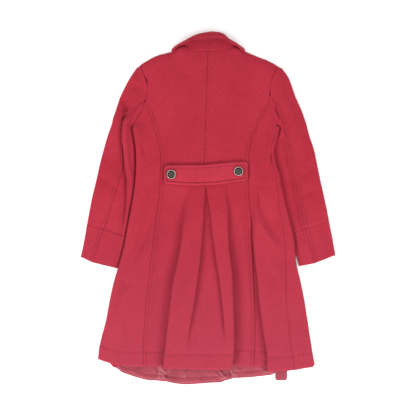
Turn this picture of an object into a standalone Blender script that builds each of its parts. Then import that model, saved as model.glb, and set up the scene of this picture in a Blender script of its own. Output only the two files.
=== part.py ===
"""A women's knee-length wool coat, laid face down on a flat surface.

Lengths are in millimetres until the meshes are made. X runs across the coat, Y towards the collar,
Z up from the surface that the front lies on. Each piece of cloth is a grid of points on its middle
surface, given half its thickness to either side.
"""

import math

import bmesh
import bpy
import numpy as np

# Sizes of the cloth
WOOL = 2.4
LINING = 1.0
COLLAR_CLOTH = 3.0
BELT_CLOTH = 4.0
GAP = 0.3
FLOOR = WOOL / 2
LAYER = WOOL + GAP
TIGHTEST = 1.45
SEAM_HALF = 0.17

# Where things are, along the coat
ARMPIT = 244.0
PLEATS_START = 64.0
HEM_EASE = -383.0
HEM_END = -470.0
YOKE_END = 309.0

# How finely a section is cut
ARC = 3
NOSE = 4
SIDE_RUN = 5
NEAR_RUN = 2
BOX_RUN = 3
PLEAT_RUN = 1
PANEL_RUN = 4

# Cloth colours
WOOL_RED = (0.50, 0.035, 0.075)
LINING_RED = (0.48, 0.12, 0.17)
PEWTER = (0.36, 0.35, 0.33)


def table(names, rows):
    """A short table with named columns, sorted by its first column."""
    data = np.array(sorted(rows), dtype=float)
    return {name: data[:, i] for i, name in enumerate(names.split())}


# Seams and outside edges across the body, each at its distance along the coat
BODY = table("y edge_l seam_l centre seam_r side_r edge_r", [
    (415, -194, -194, 1, 200, 200, 200),
    (397, -189, -189, 0, 194, 194, 194),
    (383, -183, -183, 0, 188, 188, 188),
    (367, -176, -176, 0, 183, 183, 183),
    (348, -175, -175, -1, 180, 180, 180),
    (325, -178, -178, -2, 178, 178, 178),
    (313, -180, -180, -4, 177, 177, 177),
    (309, -182, -179, -4, 177, 177, 177),
    (295, -186, -175, -5, 171, 178, 178),
    (278, -193, -171, -5, 164, 181, 181),
    (258, -205, -162, -6, 153, 191, 191),
    (250, -209, -161, -6, 148, 196, 196),
    (244, -212, -159, -7, 144, 199, 200),
    (232, -217, -156, -7, 140, 198, 206),
    (206, -213, -147, -9, 128, 192, 200),
    (168, -207, -139, -9, 120, 182, 190),
    (130, -206, -133, -10, 117, 186, 195),
    (96, -208, -132, -9, 116, 196, 206),
    (64, -211, -134, -7, 117, 200, 212),
    (23, -217, -137, -6, 119, 204, 220),
    (-20, -225, -144, -5, 123, 210, 231),
    (-64, -233, -149, -4, 127, 218, 242),
    (-107, -241, -154, -4, 129, 222, 249),
    (-157, -254, -161, -3, 131, 225, 254),
    (-209, -270, -165, -3, 133, 225, 266),
    (-267, -283, -173, -3, 135, 226, 278),
    (-325, -294, -177, -3, 136, 233, 287),
    (-383, -309, -182, -3, 136, 238, 296),
    (-418, -314, -183, -3, 135, 244, 301),
    (-470, -317, -183, -3, 133, 252, 308),
])

# Edges of the skirt's folds: the raised box, the inverted pleat in it, and the lap on the right
FOLDS = table("y crest pleat_l pleat_r box lap", [
    (64, -58, -17, 5, 52, 124),
    (23, -60, -13, 4, 54, 123),
    (-20, -65, -14, 9, 56, 124),
    (-64, -71, -17, 13, 57, 129),
    (-107, -77, -20, 19, 59, 133),
    (-157, -87, -25, 26, 65, 138),
    (-209, -99, -32, 35, 70, 144),
    (-267, -107, -40, 41, 72, 149),
    (-325, -114, -51, 47, 74, 157),
    (-383, -120, -59, 50, 75, 165),
    (-418, -124, -61, 51, 74, 171),
    (-470, -129, -63, 51, 68, 174),
])

# Heights of the middle of the cloth above the surface
LEVELS = table("y top_l low_l box under recess side_r top_r low_r", [
    (309, 9.4, 9.4, 10.0, 10.0, 10.0, 9.5, 9.4, 9.4),
    (250, 9.4, 9.0, 10.0, 10.0, 10.0, 9.5, 9.4, 9.0),
    (230, 13.0, 7.3, 10.0, 10.0, 10.0, 9.5, 13.0, 7.3),
    (130, 14.0, 7.3, 10.0, 10.0, 10.0, 9.5, 14.0, 7.3),
    (64, 14.0, 7.3, 10.2, 10.0, 10.0, 10.2, 14.0, 7.3),
    (23, 14.0, 7.3, 12.3, 9.8, 9.6, 10.8, 14.0, 7.3),
    (-20, 14.0, 7.3, 13.8, 9.3, 9.0, 11.5, 14.0, 7.3),
    (-64, 14.0, 7.3, 15.4, 9.0, 8.7, 12.8, 14.0, 7.3),
    (-107, 14.0, 7.3, 16.9, 9.0, 8.5, 14.2, 13.5, 7.0),
    (-157, 13.8, 7.3, 18.0, 9.0, 8.5, 15.2, 10.5, 1.2),
    (-190, 13.4, 7.3, 18.4, 9.1, 8.5, 15.8, 9.8, 1.2),
    (-222, 11.4, 3.4, 18.6, 9.2, 8.5, 16.2, 9.5, 1.2),
    (-248, 10.3, 1.2, 18.8, 9.4, 8.5, 16.4, 9.3, 1.2),
    (-267, 9.8, 1.2, 18.8, 9.8, 8.5, 16.6, 9.0, 1.2),
    (-325, 9.2, 1.2, 18.4, 11.4, 8.5, 16.4, 8.8, 1.2),
    (-370, 8.8, 1.2, 17.4, 14.6, 8.5, 15.8, 8.6, 1.2),
    (-418, 8.6, 1.2, 16.6, 15.9, 8.5, 15.2, 8.4, 1.2),
    (-470, 8.4, 1.2, 16.2, 15.9, 8.5, 15.0, 8.4, 1.2),
])

# How far each fold turns (degrees) and laps (mm)
TURNS = table("y crest crest_lap pleat pleat_lap box box_lap lap lap_lap", [
    (64, 2.5, 4, 2.5, 3, 2.5, 4, 2.5, 4),
    (23, 35, 1, 60, 1, 55, 1, 20, 1),
    (-20, 60, 1, 90, 1, 95, 2, 55, 1),
    (-64, 80, 2, 125, 2, 135, 4, 105, 2),
    (-107, 92, 2, 150, 5, 160, 7, 145, 5),
    (-157, 102, 3, 166, 8, 170, 9, 165, 8),
    (-209, 108, 3, 170, 10, 172, 11, 170, 10),
    (-325, 110, 3, 150, 4, 172, 12, 170, 12),
    (-370, 106, 3, 70, 1, 172, 11, 170, 12),
    (-470, 100, 3, 15, 1, 164, 8, 164, 8),
])

# Shoulder line, neck seam and shoulder line again, from left to right
TOP = table("x y", [
    (-194, 415), (-180, 424), (-168, 431), (-154, 438), (-139, 444), (-125, 447), (-107, 451),
    (-93, 458), (-78, 464), (-64, 463), (-52, 458), (-32, 455), (0, 455), (23, 456), (41, 458),
    (58, 462), (72, 464), (87, 461), (110, 452), (122, 447), (136, 441), (151, 435), (165, 430),
    (180, 423), (191, 418), (200, 412),
])

# Hem of the back, then of the front, which shows below it
BACK_HEM = table("x y", [
    (-319, -438), (-290, -447), (-255, -455), (-226, -458), (-130, -460), (-127, -464),
    (-110, -467), (-52, -464), (-23, -464), (6, -467), (67, -465), (93, -460), (150, -461),
    (177, -471), (193, -472), (230, -470), (251, -468), (279, -463), (303, -460), (309, -455),
])
FRONT_HEM = table("x y", [
    (-312, -436), (-295, -444), (-281, -452), (-275, -461), (-263, -464), (-250, -476),
    (-222, -486), (-180, -498), (-123, -502), (-95, -508), (-69, -511), (-44, -510), (9, -506),
    (38, -505), (50, -499), (66, -498), (71, -493), (116, -491), (157, -487), (186, -483),
    (197, -476), (229, -466), (267, -458), (302, -450), (312, -444),
])

# Sleeves: the outside fold, the back seam and the inside fold
SLEEVE_L = table("y outer seam inner", [
    (412, -199, -194, -194), (397, -211, -189, -189), (377, -224, -182, -182),
    (348, -240, -175, -175), (325, -251, -178, -178), (313, -256, -180, -180),
    (309, -257, -184, -182), (295, -262, -200, -186),
    (278, -267, -216, -193), (258, -274, -236, -205), (244, -277, -244, -212),
    (232, -281, -246, -212), (206, -290, -246, -209), (168, -301, -246, -203),
    (130, -311, -244, -202), (81, -322, -257, -205), (23, -336, -275, -213),
    (-20, -344, -287, -221), (-58, -351, -300, -228), (-93, -357, -312, -235),
    (-128, -364, -325, -243), (-170, -376, -338, -255),
])
SLEEVE_R = table("y outer seam inner", [
    (412, 206, 200, 200), (397, 218, 194, 194), (377, 232, 186, 186), (348, 243, 180, 180),
    (325, 251, 181, 178), (312, 256, 189, 177), (295, 263, 198, 178), (278, 270, 207, 181),
    (258, 278, 215, 191), (244, 283, 219, 200), (232, 286, 221, 201), (206, 293, 226, 196),
    (168, 306, 235, 186), (130, 314, 242, 191), (81, 324, 252, 204), (23, 337, 264, 216),
    (-20, 346, 273, 228), (-58, 353, 282, 238), (-93, 360, 291, 246), (-128, 366, 300, 254),
    (-170, 375, 309, 266),
])
# The deep crease down the left sleeve: where it is, and how deep
CREASE = table("y x depth", [
    (322, -235, 0), (300, -236, 2), (278, -238, 5), (244, -247, 7), (206, -249, 7),
    (168, -246, 7), (130, -243, 7), (81, -235, 6.5), (23, -236, 5.5), (-20, -241, 4.5),
    (-58, -247, 3), (-107, -256, 2), (-170, -268, 1),
])

# Collar, from left to right: fold line, loose edge, and their heights
COLLAR = table("x fold_y edge_y fold_z edge_z", [
    (-103, 463, 456, 11.5, 16.0), (-93, 469, 462.5, 11.5, 19.0), (-81, 476, 470.5, 11.8, 22.0),
    (-67, 483.5, 477.5, 12.2, 24.0), (-52, 493, 481, 12.8, 25.5), (-38, 500, 484, 13.5, 26.5),
    (-23, 505, 481, 14.0, 27.0), (-6, 508, 483, 14.5, 27.0), (12, 510, 485, 14.5, 27.0),
    (29, 509, 485, 14.0, 27.0), (46, 503, 482, 13.2, 26.0), (62, 488, 479, 12.5, 24.5),
    (78, 478.5, 472.5, 12.0, 22.5), (93, 469, 462.5, 11.5, 19.0), (104, 464, 457, 11.5, 16.0),
])

# Half belt: its two long edges, from left to right
BELT = table("x top low", [
    (-128, 124, 71), (-81, 125, 67), (-52, 125, 65.5), (-9, 125.5, 66), (20, 128.5, 67.5),
    (49, 131, 71), (78, 133.5, 75), (115, 136, 79),
])
BELT_CORNER = 11.0
BELT_HEIGHT = 13.8
BUTTONS = {"button_left": (-106.0, 97.0), "button_right": (88.0, 106.0)}
BUTTON_RADIUS = 13.5

# Front openings, hidden under the back
NECK_Y = 459.0
BREAK_Y = 283.0
FRONT_L_EDGE = 58.0
FRONT_R_EDGE = -125.0


def smooth(t):
    t = np.clip(t, 0.0, 1.0)
    return t * t * (3 - 2 * t)


def mix(a, b, t):
    return a + (b - a) * t


def slopes_of(x, v):
    """Slopes of a smooth curve through the rows that never runs past them."""
    steps = np.diff(v) / np.diff(x)
    slopes = np.zeros(len(v))
    slopes[0], slopes[-1] = steps[0], steps[-1]
    for i in range(1, len(v) - 1):
        a, b = steps[i - 1], steps[i]
        slopes[i] = 2 * a * b / (a + b) if a * b > 0 else 0.0
    return slopes


def at(columns, name, value, key="y"):
    """A table's column at one place, as a smooth curve through its rows."""
    x = columns[key]
    v = columns[name]
    value = float(np.clip(value, x[0], x[-1]))
    i = int(np.clip(np.searchsorted(x, value) - 1, 0, len(x) - 2))
    slopes = slopes_of(x, v)
    h = x[i + 1] - x[i]
    t = (value - x[i]) / h
    a = (1 + 2 * t) * (1 - t) ** 2
    b = t * (1 - t) ** 2
    c = t * t * (3 - 2 * t)
    d = t * t * (t - 1)
    return float(a * v[i] + b * h * slopes[i] + c * v[i + 1] + d * h * slopes[i + 1])


def line(columns, name, value, key="y"):
    """A table's column at one place, straight between its rows."""
    return float(np.interp(value, columns[key], columns[name]))


def base_height(x, y):
    """The back without folds: nearly flat, fuller over the shoulder blades."""
    blades = 2.6 * math.exp(-((abs(x) - 88) / 52) ** 2 - ((y - 330) / 75) ** 2)
    return 9.4 + blades


def run(points, x, z, hem, steps):
    """Cloth that goes on to a place, level at both ends."""
    x0, z0, hem0 = points[-1]
    for i in range(1, steps + 1):
        t = i / steps
        points.append((mix(x0, x, t), mix(z0, z, smooth(t)), mix(hem0, hem, t)))


def fold_shape(high, low, lap, degrees):
    """A step or fold in the cloth, from its high side to its low side, bulging towards +X."""
    drop = max(high - low, 0.12)
    turn = min(math.radians(max(degrees, 2.0)), math.acos(max(1 - drop / (2 * TIGHTEST), -1.0)))
    room = (drop - 2 * TIGHTEST * (1 - math.cos(turn))) / math.sin(min(turn, math.pi - 0.02))
    lap = min(lap, max(room, 0.05))
    radius = (drop - lap * math.sin(turn)) / (2 * (1 - math.cos(turn)))
    start = -radius * math.sin(min(turn, math.pi / 2))
    points = []
    for i in range(ARC + 1):
        a = turn * i / ARC
        points.append((start + radius * math.sin(a), high - radius * (1 - math.cos(a))))
    x, z = points[-1]
    x += lap * math.cos(turn)
    z -= lap * math.sin(turn)
    points.append((x, z))
    for i in range(1, ARC + 1):
        a = turn * i / ARC
        points.append((x + radius * (math.sin(turn) - math.sin(turn - a)),
                       z - radius * (math.cos(turn - a) - math.cos(turn))))
    return points


FOLD = 2 * ARC + 1


def fold_down(points, edge, low, lap, degrees, hem, steps):
    """Level cloth, then a fold that drops on its right side."""
    high = points[-1][1]
    shape = fold_shape(high, low, lap, degrees)
    run(points, edge + shape[0][0], high, points[-1][2], steps)
    hem0 = points[-1][2]
    for i, (x, z) in enumerate(shape[1:], 1):
        points.append((edge + x, z, mix(hem0, hem, i / FOLD)))


def fold_up(points, edge, high, lap, degrees, hem, steps):
    """Low cloth, then a fold that rises on its right side."""
    low = points[-1][1]
    shape = [(-x, z) for x, z in reversed(fold_shape(high, low, lap, degrees))]
    edge = max(edge, points[-1][0] + 1.5 * steps - shape[0][0])
    run(points, edge + shape[0][0], low, points[-1][2], steps)
    hem0 = points[-1][2]
    for i, (x, z) in enumerate(shape[1:], 1):
        points.append((edge + x, z, mix(hem0, hem, i / FOLD)))


def nose(edge, top, low, amount, side):
    """The rounded side edge of the body, from below to above; amount 0 is a plain cut edge."""
    turn = math.pi * amount
    length = mix(2.0, math.pi * (top - low) / 2, amount)
    if amount < 0.02:
        return [(edge - side * length * i / NOSE, top) for i in range(NOSE + 1)]
    radius = length / turn
    reach = radius * math.sin(min(turn, math.pi / 2))
    points = []
    for i in range(NOSE + 1):
        a = turn * (1 - i / NOSE)
        points.append((edge + side * (radius * math.sin(a) - reach), top - radius * (1 - math.cos(a))))
    return points


# Column numbers of the seams in a back section
SEAM_L = NOSE + SIDE_RUN
HALF = NEAR_RUN + FOLD + BOX_RUN + FOLD + PLEAT_RUN
CENTRE = SEAM_L + HALF
SEAM_R = CENTRE + HALF
SIDE_R = SEAM_R + NEAR_RUN + FOLD + PANEL_RUN
LAST = SIDE_R + NEAR_RUN + NOSE


def settle(y, hem):
    """Rows near the hem close up or spread so that the last one lies on the hem line."""
    if y >= HEM_EASE:
        return y
    return HEM_EASE + (y - HEM_EASE) * (hem - HEM_EASE) / (HEM_END - HEM_EASE)


def hem_at(x):
    return line(BACK_HEM, "y", x, "x")


def left_side(y):
    """From the left side edge to the left back seam."""
    edge = at(BODY, "edge_l", y)
    seam = at(BODY, "seam_l", y)
    top = at(LEVELS, "top_l", y)
    low = at(LEVELS, "low_l", y)
    closed = float(smooth((ARMPIT + 2 - y) / 14))
    points = [(x, z, hem_at(edge)) for x, z in nose(edge + 0.2, top, low, closed, -1)]
    start = points[-1]
    reach = max(seam - start[0], 60.0)
    for i in range(1, SIDE_RUN + 1):
        x = mix(start[0], seam, i / SIDE_RUN)
        share = float(smooth((x - start[0]) / reach))
        points.append((x, mix(start[1], base_height(x, y), share), hem_at(x)))
    return points


def folded_back(points, y):
    """The box panel with its inverted pleat, as far as the side seam."""
    box = at(LEVELS, "box", y)
    under = at(LEVELS, "under", y)
    recess = at(LEVELS, "recess", y)
    side = at(LEVELS, "side_r", y)
    turn = {name: line(TURNS, name, y) for name in TURNS}
    edge = {name: at(FOLDS, name, y) for name in FOLDS}
    fold_up(points, edge["crest"], box, turn["crest_lap"], turn["crest"], -464, NEAR_RUN)
    fold_down(points, edge["pleat_l"], under, turn["pleat_lap"], turn["pleat"], -465, BOX_RUN)
    middle = max(at(BODY, "centre", y), points[-1][0] + 1.5)
    run(points, middle, under, -466, PLEAT_RUN)
    last = points[-1]
    points[-1] = (last[0], last[1], -466)
    fold_up(points, edge["pleat_r"], box, turn["pleat_lap"], turn["pleat"], -466, PLEAT_RUN)
    fold_down(points, edge["box"], recess, turn["box_lap"], turn["box"], -454, BOX_RUN)
    run(points, at(BODY, "seam_r", y), recess, -459, NEAR_RUN)
    fold_up(points, edge["lap"], side, turn["lap_lap"], turn["lap"], -471, NEAR_RUN)


def flat_back(points, y):
    """The same columns where the back is not folded, spread evenly between the seams."""
    stops = [("seam_l", "centre", HALF), ("centre", "seam_r", HALF),
             ("seam_r", "side_r", SIDE_R - SEAM_R - PANEL_RUN)]
    for first, second, count in stops:
        a = at(BODY, first, y)
        b = at(BODY, second, y)
        whole = count + (PANEL_RUN if first == "seam_r" else 0)
        for i in range(1, count + 1):
            x = mix(a, b, i / whole)
            points.append((x, base_height(x, y), -460))


def side_end(points, y):
    """From the last fold to the side seam, then over the right side edge to the underside."""
    x0, z0, _ = points[-1]
    seam = at(BODY, "side_r", y)
    edge = at(BODY, "edge_r", y)
    top = at(LEVELS, "top_r", y)
    low = at(LEVELS, "low_r", y)
    closed = float(smooth((ARMPIT + 2 - y) / 14))
    turned = nose(edge - 0.2, top, low, closed, 1)[::-1]
    share = (seam - x0) / max(turned[0][0] - x0, 1.0)
    z_seam = mix(z0, top, float(smooth(min(share, 1.0))))
    for i in range(1, PANEL_RUN + 1):
        t = i / PANEL_RUN
        x = mix(x0, seam, t)
        s = (x - x0) / max(turned[0][0] - x0, 1.0)
        points.append((x, mix(z0, top, float(smooth(min(s, 1.0)))), hem_at(x)))
    for i in range(1, NEAR_RUN + 1):
        t = i / NEAR_RUN
        x = mix(seam, turned[0][0], t)
        points.append((x, mix(z_seam, top, t), hem_at(x)))
    for x, z in turned[1:]:
        points.append((x, z, hem_at(edge)))


def back_section(y):
    """The whole back at one place along the coat, from the left edge's underside to the right's."""
    points = left_side(y)
    start = list(points)
    flat_back(points, y)
    folded = float(smooth((PLEATS_START + 18 - y) / 30))
    if folded > 0:
        pleated = start
        folded_back(pleated, y)
        points = [tuple(mix(np.array(a), np.array(b), folded)) for a, b in zip(points, pleated)]
    side_end(points, y)
    return [(x, settle(y, hem), z) for x, z, hem in points]


def yoke_row(t):
    """A row of the upper back, between the shoulder line (t = 0) and a level row (t = 1)."""
    y_l = mix(TOP["y"][0], YOKE_END, t)
    y_r = mix(TOP["y"][-1], YOKE_END, t)
    x_l = at(BODY, "seam_l", y_l)
    x_r = at(BODY, "seam_r", y_r)
    centre = at(BODY, "centre", YOKE_END) * t
    row = []
    for i in range(2 * HALF + 1):
        u = i / HALF
        x = mix(x_l, centre, u) if u <= 1 else mix(centre, x_r, u - 1)
        x_top = mix(TOP["x"][0], 0.0, u) if u <= 1 else mix(0.0, TOP["x"][-1], u - 1)
        y = mix(line(TOP, "y", x_top, "x"), YOKE_END, t)
        down = line(TOP, "y", x_top, "x") - y
        shoulder = float(smooth((abs(x_top) - 88) / 22))
        full = base_height(x, y)
        roll = mix(3.9, full, min(1.0, math.sin(min(down / 26, 1.0) * math.pi / 2)))
        neck = mix(7.4, full, float(smooth(down / 40)))
        row.append((x, y, mix(neck, roll, shoulder)))
    return row


YOKE_ROWS = [0.0, 0.035, 0.1, 0.24, 0.42, 0.62, 0.82]
BACK_ROWS = [309, 298, 282, 264, 250, 240, 230, 196, 150, 96, 72, 46, 20, -12, -50, -90, -140,
             -200, -267, -325, -370, -420, -452, -470]


def normals(grid):
    along = np.gradient(grid, axis=0)
    across = np.gradient(grid, axis=1)
    n = np.cross(along, across)
    length = np.linalg.norm(n, axis=2, keepdims=True)
    return n / np.maximum(length, 1e-9)


def pull_in(grid, side, amount):
    """Draw one side of a panel back from its seam."""
    grid = grid.copy()
    views = {"left": (grid[:, 0], grid[:, 1]), "right": (grid[:, -1], grid[:, -2]),
             "first": (grid[0], grid[1]), "last": (grid[-1], grid[-2])}
    edge, inner = views[side]
    step = inner - edge
    length = np.linalg.norm(step, axis=1, keepdims=True)
    edge += step / np.maximum(length, 1e-6) * np.minimum(amount, length * 0.45)
    return grid


def pull_both(grid):
    return pull_in(pull_in(grid, "left", SEAM_HALF), "right", SEAM_HALF)


def unit(vectors):
    return vectors / np.maximum(np.linalg.norm(vectors, axis=-1, keepdims=True), 1e-9)


def add_object(name, bm, material):
    mesh = bpy.data.meshes.new(name)
    bmesh.ops.recalc_face_normals(bm, faces=bm.faces)
    bm.to_mesh(mesh)
    bm.free()
    mesh.materials.append(material)
    obj = bpy.data.objects.new(name, mesh)
    bpy.context.scene.collection.objects.link(obj)
    return obj


def cloth(name, grid, n, wall, material):
    """A closed solid: the grid moved half the wall to either side, and its rim closed."""
    rows, cols = grid.shape[:2]
    bm = bmesh.new()
    faces = []
    for sign in (0.5, -0.5):
        moved = (grid + n * wall * sign) * 0.001
        faces.append([[bm.verts.new(moved[r, c]) for c in range(cols)] for r in range(rows)])
    for r in range(rows - 1):
        for c in range(cols - 1):
            for k, sheet in enumerate(faces):
                quad = [sheet[r][c], sheet[r + 1][c], sheet[r + 1][c + 1], sheet[r][c + 1]]
                add_quad(bm, quad if k == 0 else quad[::-1])
    ring = [(0, c) for c in range(cols)] + [(r, cols - 1) for r in range(1, rows)]
    ring += [(rows - 1, c) for c in range(cols - 2, -1, -1)] + [(r, 0) for r in range(rows - 2, 0, -1)]
    for (r0, c0), (r1, c1) in zip(ring, ring[1:] + ring[:1]):
        add_quad(bm, [faces[0][r0][c0], faces[0][r1][c1], faces[1][r1][c1], faces[1][r0][c0]])
    return add_object(name, bm, material)


def add_quad(bm, quad):
    """Two triangles, split along the shorter diagonal."""
    a, b, c, d = quad
    if (a.co - c.co).length <= (b.co - d.co).length:
        bm.faces.new((a, b, c))
        bm.faces.new((a, c, d))
    else:
        bm.faces.new((a, b, d))
        bm.faces.new((b, c, d))


def back_grids():
    """The back's panels, cut from one surface at the seams."""
    lower = np.array([back_section(y) for y in BACK_ROWS])
    upper = np.array([yoke_row(t) for t in YOKE_ROWS])
    middle = np.concatenate([upper, lower[:, SEAM_L:SEAM_R + 1]])
    whole = normals(lower)
    n = normals(middle)
    n[len(upper):, 0] = whole[:, SEAM_L]
    n[len(upper):, -1] = whole[:, SEAM_R]
    strip, strip_n = side_strip(lower, whole)
    grids = {
        "back_centre_left": (middle[:, :HALF + 1], n[:, :HALF + 1]),
        "back_centre_right": (middle[:, HALF:], n[:, HALF:]),
        "back_side_left": (lower[:, :SEAM_L + 1], whole[:, :SEAM_L + 1]),
        "back_side_right": (lower[1:, SEAM_R:SIDE_R + 1], whole[1:, SEAM_R:SIDE_R + 1]),
        "front_side_right": (strip, strip_n),
    }
    return {name: (pull_both(grid), n) for name, (grid, n) in grids.items()}


def side_strip(lower, whole):
    """The front's side panel: from the side seam round the right edge to the underside."""
    start = BACK_ROWS.index(230)
    strip = []
    for y, section in zip(BACK_ROWS[start:], lower[start:]):
        low = at(LEVELS, "low_r", y)
        x, y_end, _ = section[-1]
        ends = [(x - d, y_end, under_edge(d, low)) for d in (6, 13)]
        strip.append([tuple(p) for p in section[SIDE_R:]] + ends)
    strip = np.array(strip)
    n = normals(strip)
    n[:, 0] = whole[start:, SIDE_R]
    return strip, n


def under_edge(distance, low):
    """Height of the underside, by its distance from the rounded side edge."""
    return mix(low, FLOOR, float(smooth((distance - 6) / 22)))


FRONT_ROWS = [y for y in BACK_ROWS if y < BREAK_Y]
FRONT_TOP = [0.0, 0.035, 0.1, 0.22, 0.35, 0.5, 0.75, 1.0]


def front_inner(side, y):
    """The closing edge of a front: slanting from the neck, then straight."""
    share = np.clip((NECK_Y - y) / (NECK_Y - BREAK_Y), 0, 1)
    if side < 0:
        return float(mix(-80.0, FRONT_L_EDGE, share))
    return float(mix(80.0, FRONT_R_EDGE, share))


def climb_start(y):
    """Where the left front begins to climb over the right one."""
    return front_inner(1, y - 40) - 20


def front_height(side, x, y, out, low):
    """On the surface; the left front climbs over the right one, and both rise at the side edge."""
    z = FLOOR
    if side < 0:
        z += LAYER * float(np.clip((x - climb_start(y)) / 14, 0, 1))
    return max(z, under_edge(abs(x - out) + (13 if side > 0 else 0), low))


def front_outer(side, y):
    """Where the front starts at its side seam or armhole."""
    column, gap = ("edge_l", 1) if side < 0 else ("edge_r", -1)
    edge = at(BODY, column, y)
    top = at(LEVELS, "top_l" if side < 0 else "top_r", y)
    low = at(LEVELS, "low_l" if side < 0 else "low_r", y)
    closed = float(smooth((ARMPIT + 2 - y) / 14))
    inset = (0.6 + (top - low) / 2) * closed + 0.3
    inset += 9 * math.sin(math.pi * closed)
    if side > 0:
        inset += 13 * closed
    return edge + gap * inset, mix(FLOOR, low, closed)


def front_hem(side, x):
    hem = line(FRONT_HEM, "y", x, "x")
    if side > 0 and x < FRONT_L_EDGE + 6:
        hem = max(hem, -497.0)
    return hem


def front_stops(side, x_out, x_in, y):
    """Columns of a front, close together at its side edge and where it climbs."""
    toward = -side
    near = [x_out, x_out + toward * 8, x_out + toward * 18, x_out + toward * 30]
    if side < 0:
        over = min(climb_start(y), x_in - 18)
        return near + [over, over + 14, mix(over + 14, x_in, 0.5), x_in]
    return near + [mix(near[-1], x_in, t) for t in (0.3, 0.6, 0.85, 1.0)]


def front_row(side, y_out, y_in, level):
    """A row of a front; near the top it bends to the shoulder line, level 0 being that line."""
    x_out, low = front_outer(side, y_out)
    x_in = front_inner(side, y_in)
    stops = front_stops(side, x_out, x_in, y_in)
    top_out, top_in = (TOP["x"][0], -80.0) if side < 0 else (TOP["x"][-1], 80.0)
    row = []
    for x in stops:
        y = y_out
        if level < 1:
            u = (x - x_out) / (x_in - x_out)
            y = mix(line(TOP, "y", mix(top_out, top_in, u), "x"), BREAK_Y, level)
        elif y_out < HEM_EASE:
            y = settle(y_out, front_hem(side, x))
        row.append((x, y, front_height(side, x, y_in, x_out, low)))
    return row


def front_grid(side):
    top = TOP["y"][0 if side < 0 else -1]
    rows = [front_row(side, mix(top, BREAK_Y, t), mix(NECK_Y, BREAK_Y, t), t) for t in FRONT_TOP]
    rows += [front_row(side, y, y, 1.0) for y in FRONT_ROWS]
    if side > 0:
        rows = [row[::-1] for row in rows]
    return flipped(np.array(rows))


def flipped(grid):
    """A layer that faces down: its columns run the other way."""
    grid = grid[:, ::-1]
    return grid, normals(grid)


def bump(value, centre, width):
    return math.exp(-((value - centre) / width) ** 2)


def left_sleeve_top(x, y):
    """Height of the left sleeve's upper layer, with its deep crease and the roll beside it."""
    outer = at(SLEEVE_L, "outer", y)
    inner = at(SLEEVE_L, "inner", y)
    u = (x - outer) / (inner - outer)
    cap = float(smooth((y - 232) / 14))
    crown = 9.0 + 3.4 * math.sin(math.pi * min(max(u, 0), 1)) ** 0.8
    near = float(smooth((412 - y) / 40))
    crown = mix(4.6, crown, near)
    crease = at(CREASE, "x", y)
    depth = line(CREASE, "depth", y)
    wide = 8.0 if x < crease else 4.5
    z = crown - depth * bump(x, crease, wide)
    z += 0.25 * depth * bump(x, crease + 14, 7)
    tucked = mix(4.2, z, float(smooth((inner - 4 - x) / 12)))
    level = mix(z, 9.4, float(smooth(1 - (inner - x) / 26)))
    return mix(tucked, mix(crown, level, near), cap)


def right_sleeve_top(x, y):
    """Height of the right sleeve's upper layer, low between the body's edge and the back seam."""
    outer = at(SLEEVE_R, "outer", y)
    inner = at(SLEEVE_R, "inner", y)
    seam = at(SLEEVE_R, "seam", y)
    u = (x - outer) / (inner - outer)
    cap = float(smooth((y - 232) / 14))
    crown = 9.0 + 3.4 * math.sin(math.pi * min(max(u, 0), 1)) ** 0.8
    near = float(smooth((412 - y) / 40))
    crown = mix(4.6, crown, near)
    recess = float(smooth((226 - y) / 30)) * float(smooth((y + 120) / 90))
    low = mix(crown, 5.6, recess)
    z = mix(crown, low, float(smooth((seam - 3 - x) / 12)))
    z -= 3.5 * bump(x, seam - 5, 5) * bump(y, 262, 22)
    tucked = mix(4.2, z, float(smooth((x - inner - 4) / 12)))
    level = mix(z, 9.4, float(smooth(1 - (x - inner) / 26)))
    return mix(tucked, mix(crown, level, near), cap)


SLEEVE_NOSE = 4
TOP_RUN = 5
FLOOR_RUN = 3
SLEEVE_TURN = 9.0
TUCK_TURN = 4.2


def half_turn(centre, top, low, side, count):
    """A fold from above to below, bulging to one side."""
    radius = (top - low) / 2
    return [(centre + side * radius * math.sin(math.pi * i / count),
             low + radius * (1 + math.cos(math.pi * i / count))) for i in range(1, count + 1)]


def inside_fold(columns, side, y):
    """A sleeve's inside edge: the armhole, and under it the fold below the body's edge."""
    armhole = at(BODY, "edge_l" if side < 0 else "edge_r", y)
    return mix(armhole, at(columns, "inner", y), float(smooth((ARMPIT + 2 - y) / 14)))


def sleeve_lines(side):
    """The places of a sleeve's rows: along its outside fold, its back seam and its inside fold."""
    top, seam_end, out_end, in_end = (415, -61, -49, -84) if side < 0 else (412, -60, -39, -72)
    seams = [mix(top, YOKE_END, t) for t in YOKE_ROWS[2:]]
    seams += [y for y in BACK_ROWS if y >= 230] + [190, 140, 81, 20, -20, seam_end]
    rows = []
    for y in seams:
        down = max(0.0, (230 - y) / (230 - seam_end))
        rows.append((y + (out_end - seam_end) * down, y, y + (in_end - seam_end) * down))
    return rows


def sleeve_over(columns, top_of, side, y_out, y_seam):
    """From the back seam over the crown and round the outside fold, down to the surface."""
    outer = at(columns, "outer", y_out)
    seam = at(columns, "seam", y_seam)
    top = mix(FLOOR + LAYER + 0.8, SLEEVE_TURN, float(smooth((405 - y_out) / 40)))
    x_turn = outer - side * (top - FLOOR) / 2
    points = []
    for i in range(TOP_RUN + 1):
        u = i / TOP_RUN
        x = mix(seam, x_turn, u)
        y = mix(y_seam, y_out, u)
        points.append((x, y, mix(top_of(x, y), top, float(smooth((u - 0.5) / 0.5)))))
    points += [(x, y_out, z) for x, z in half_turn(x_turn, top, FLOOR, side, SLEEVE_NOSE)]
    return points


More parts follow.
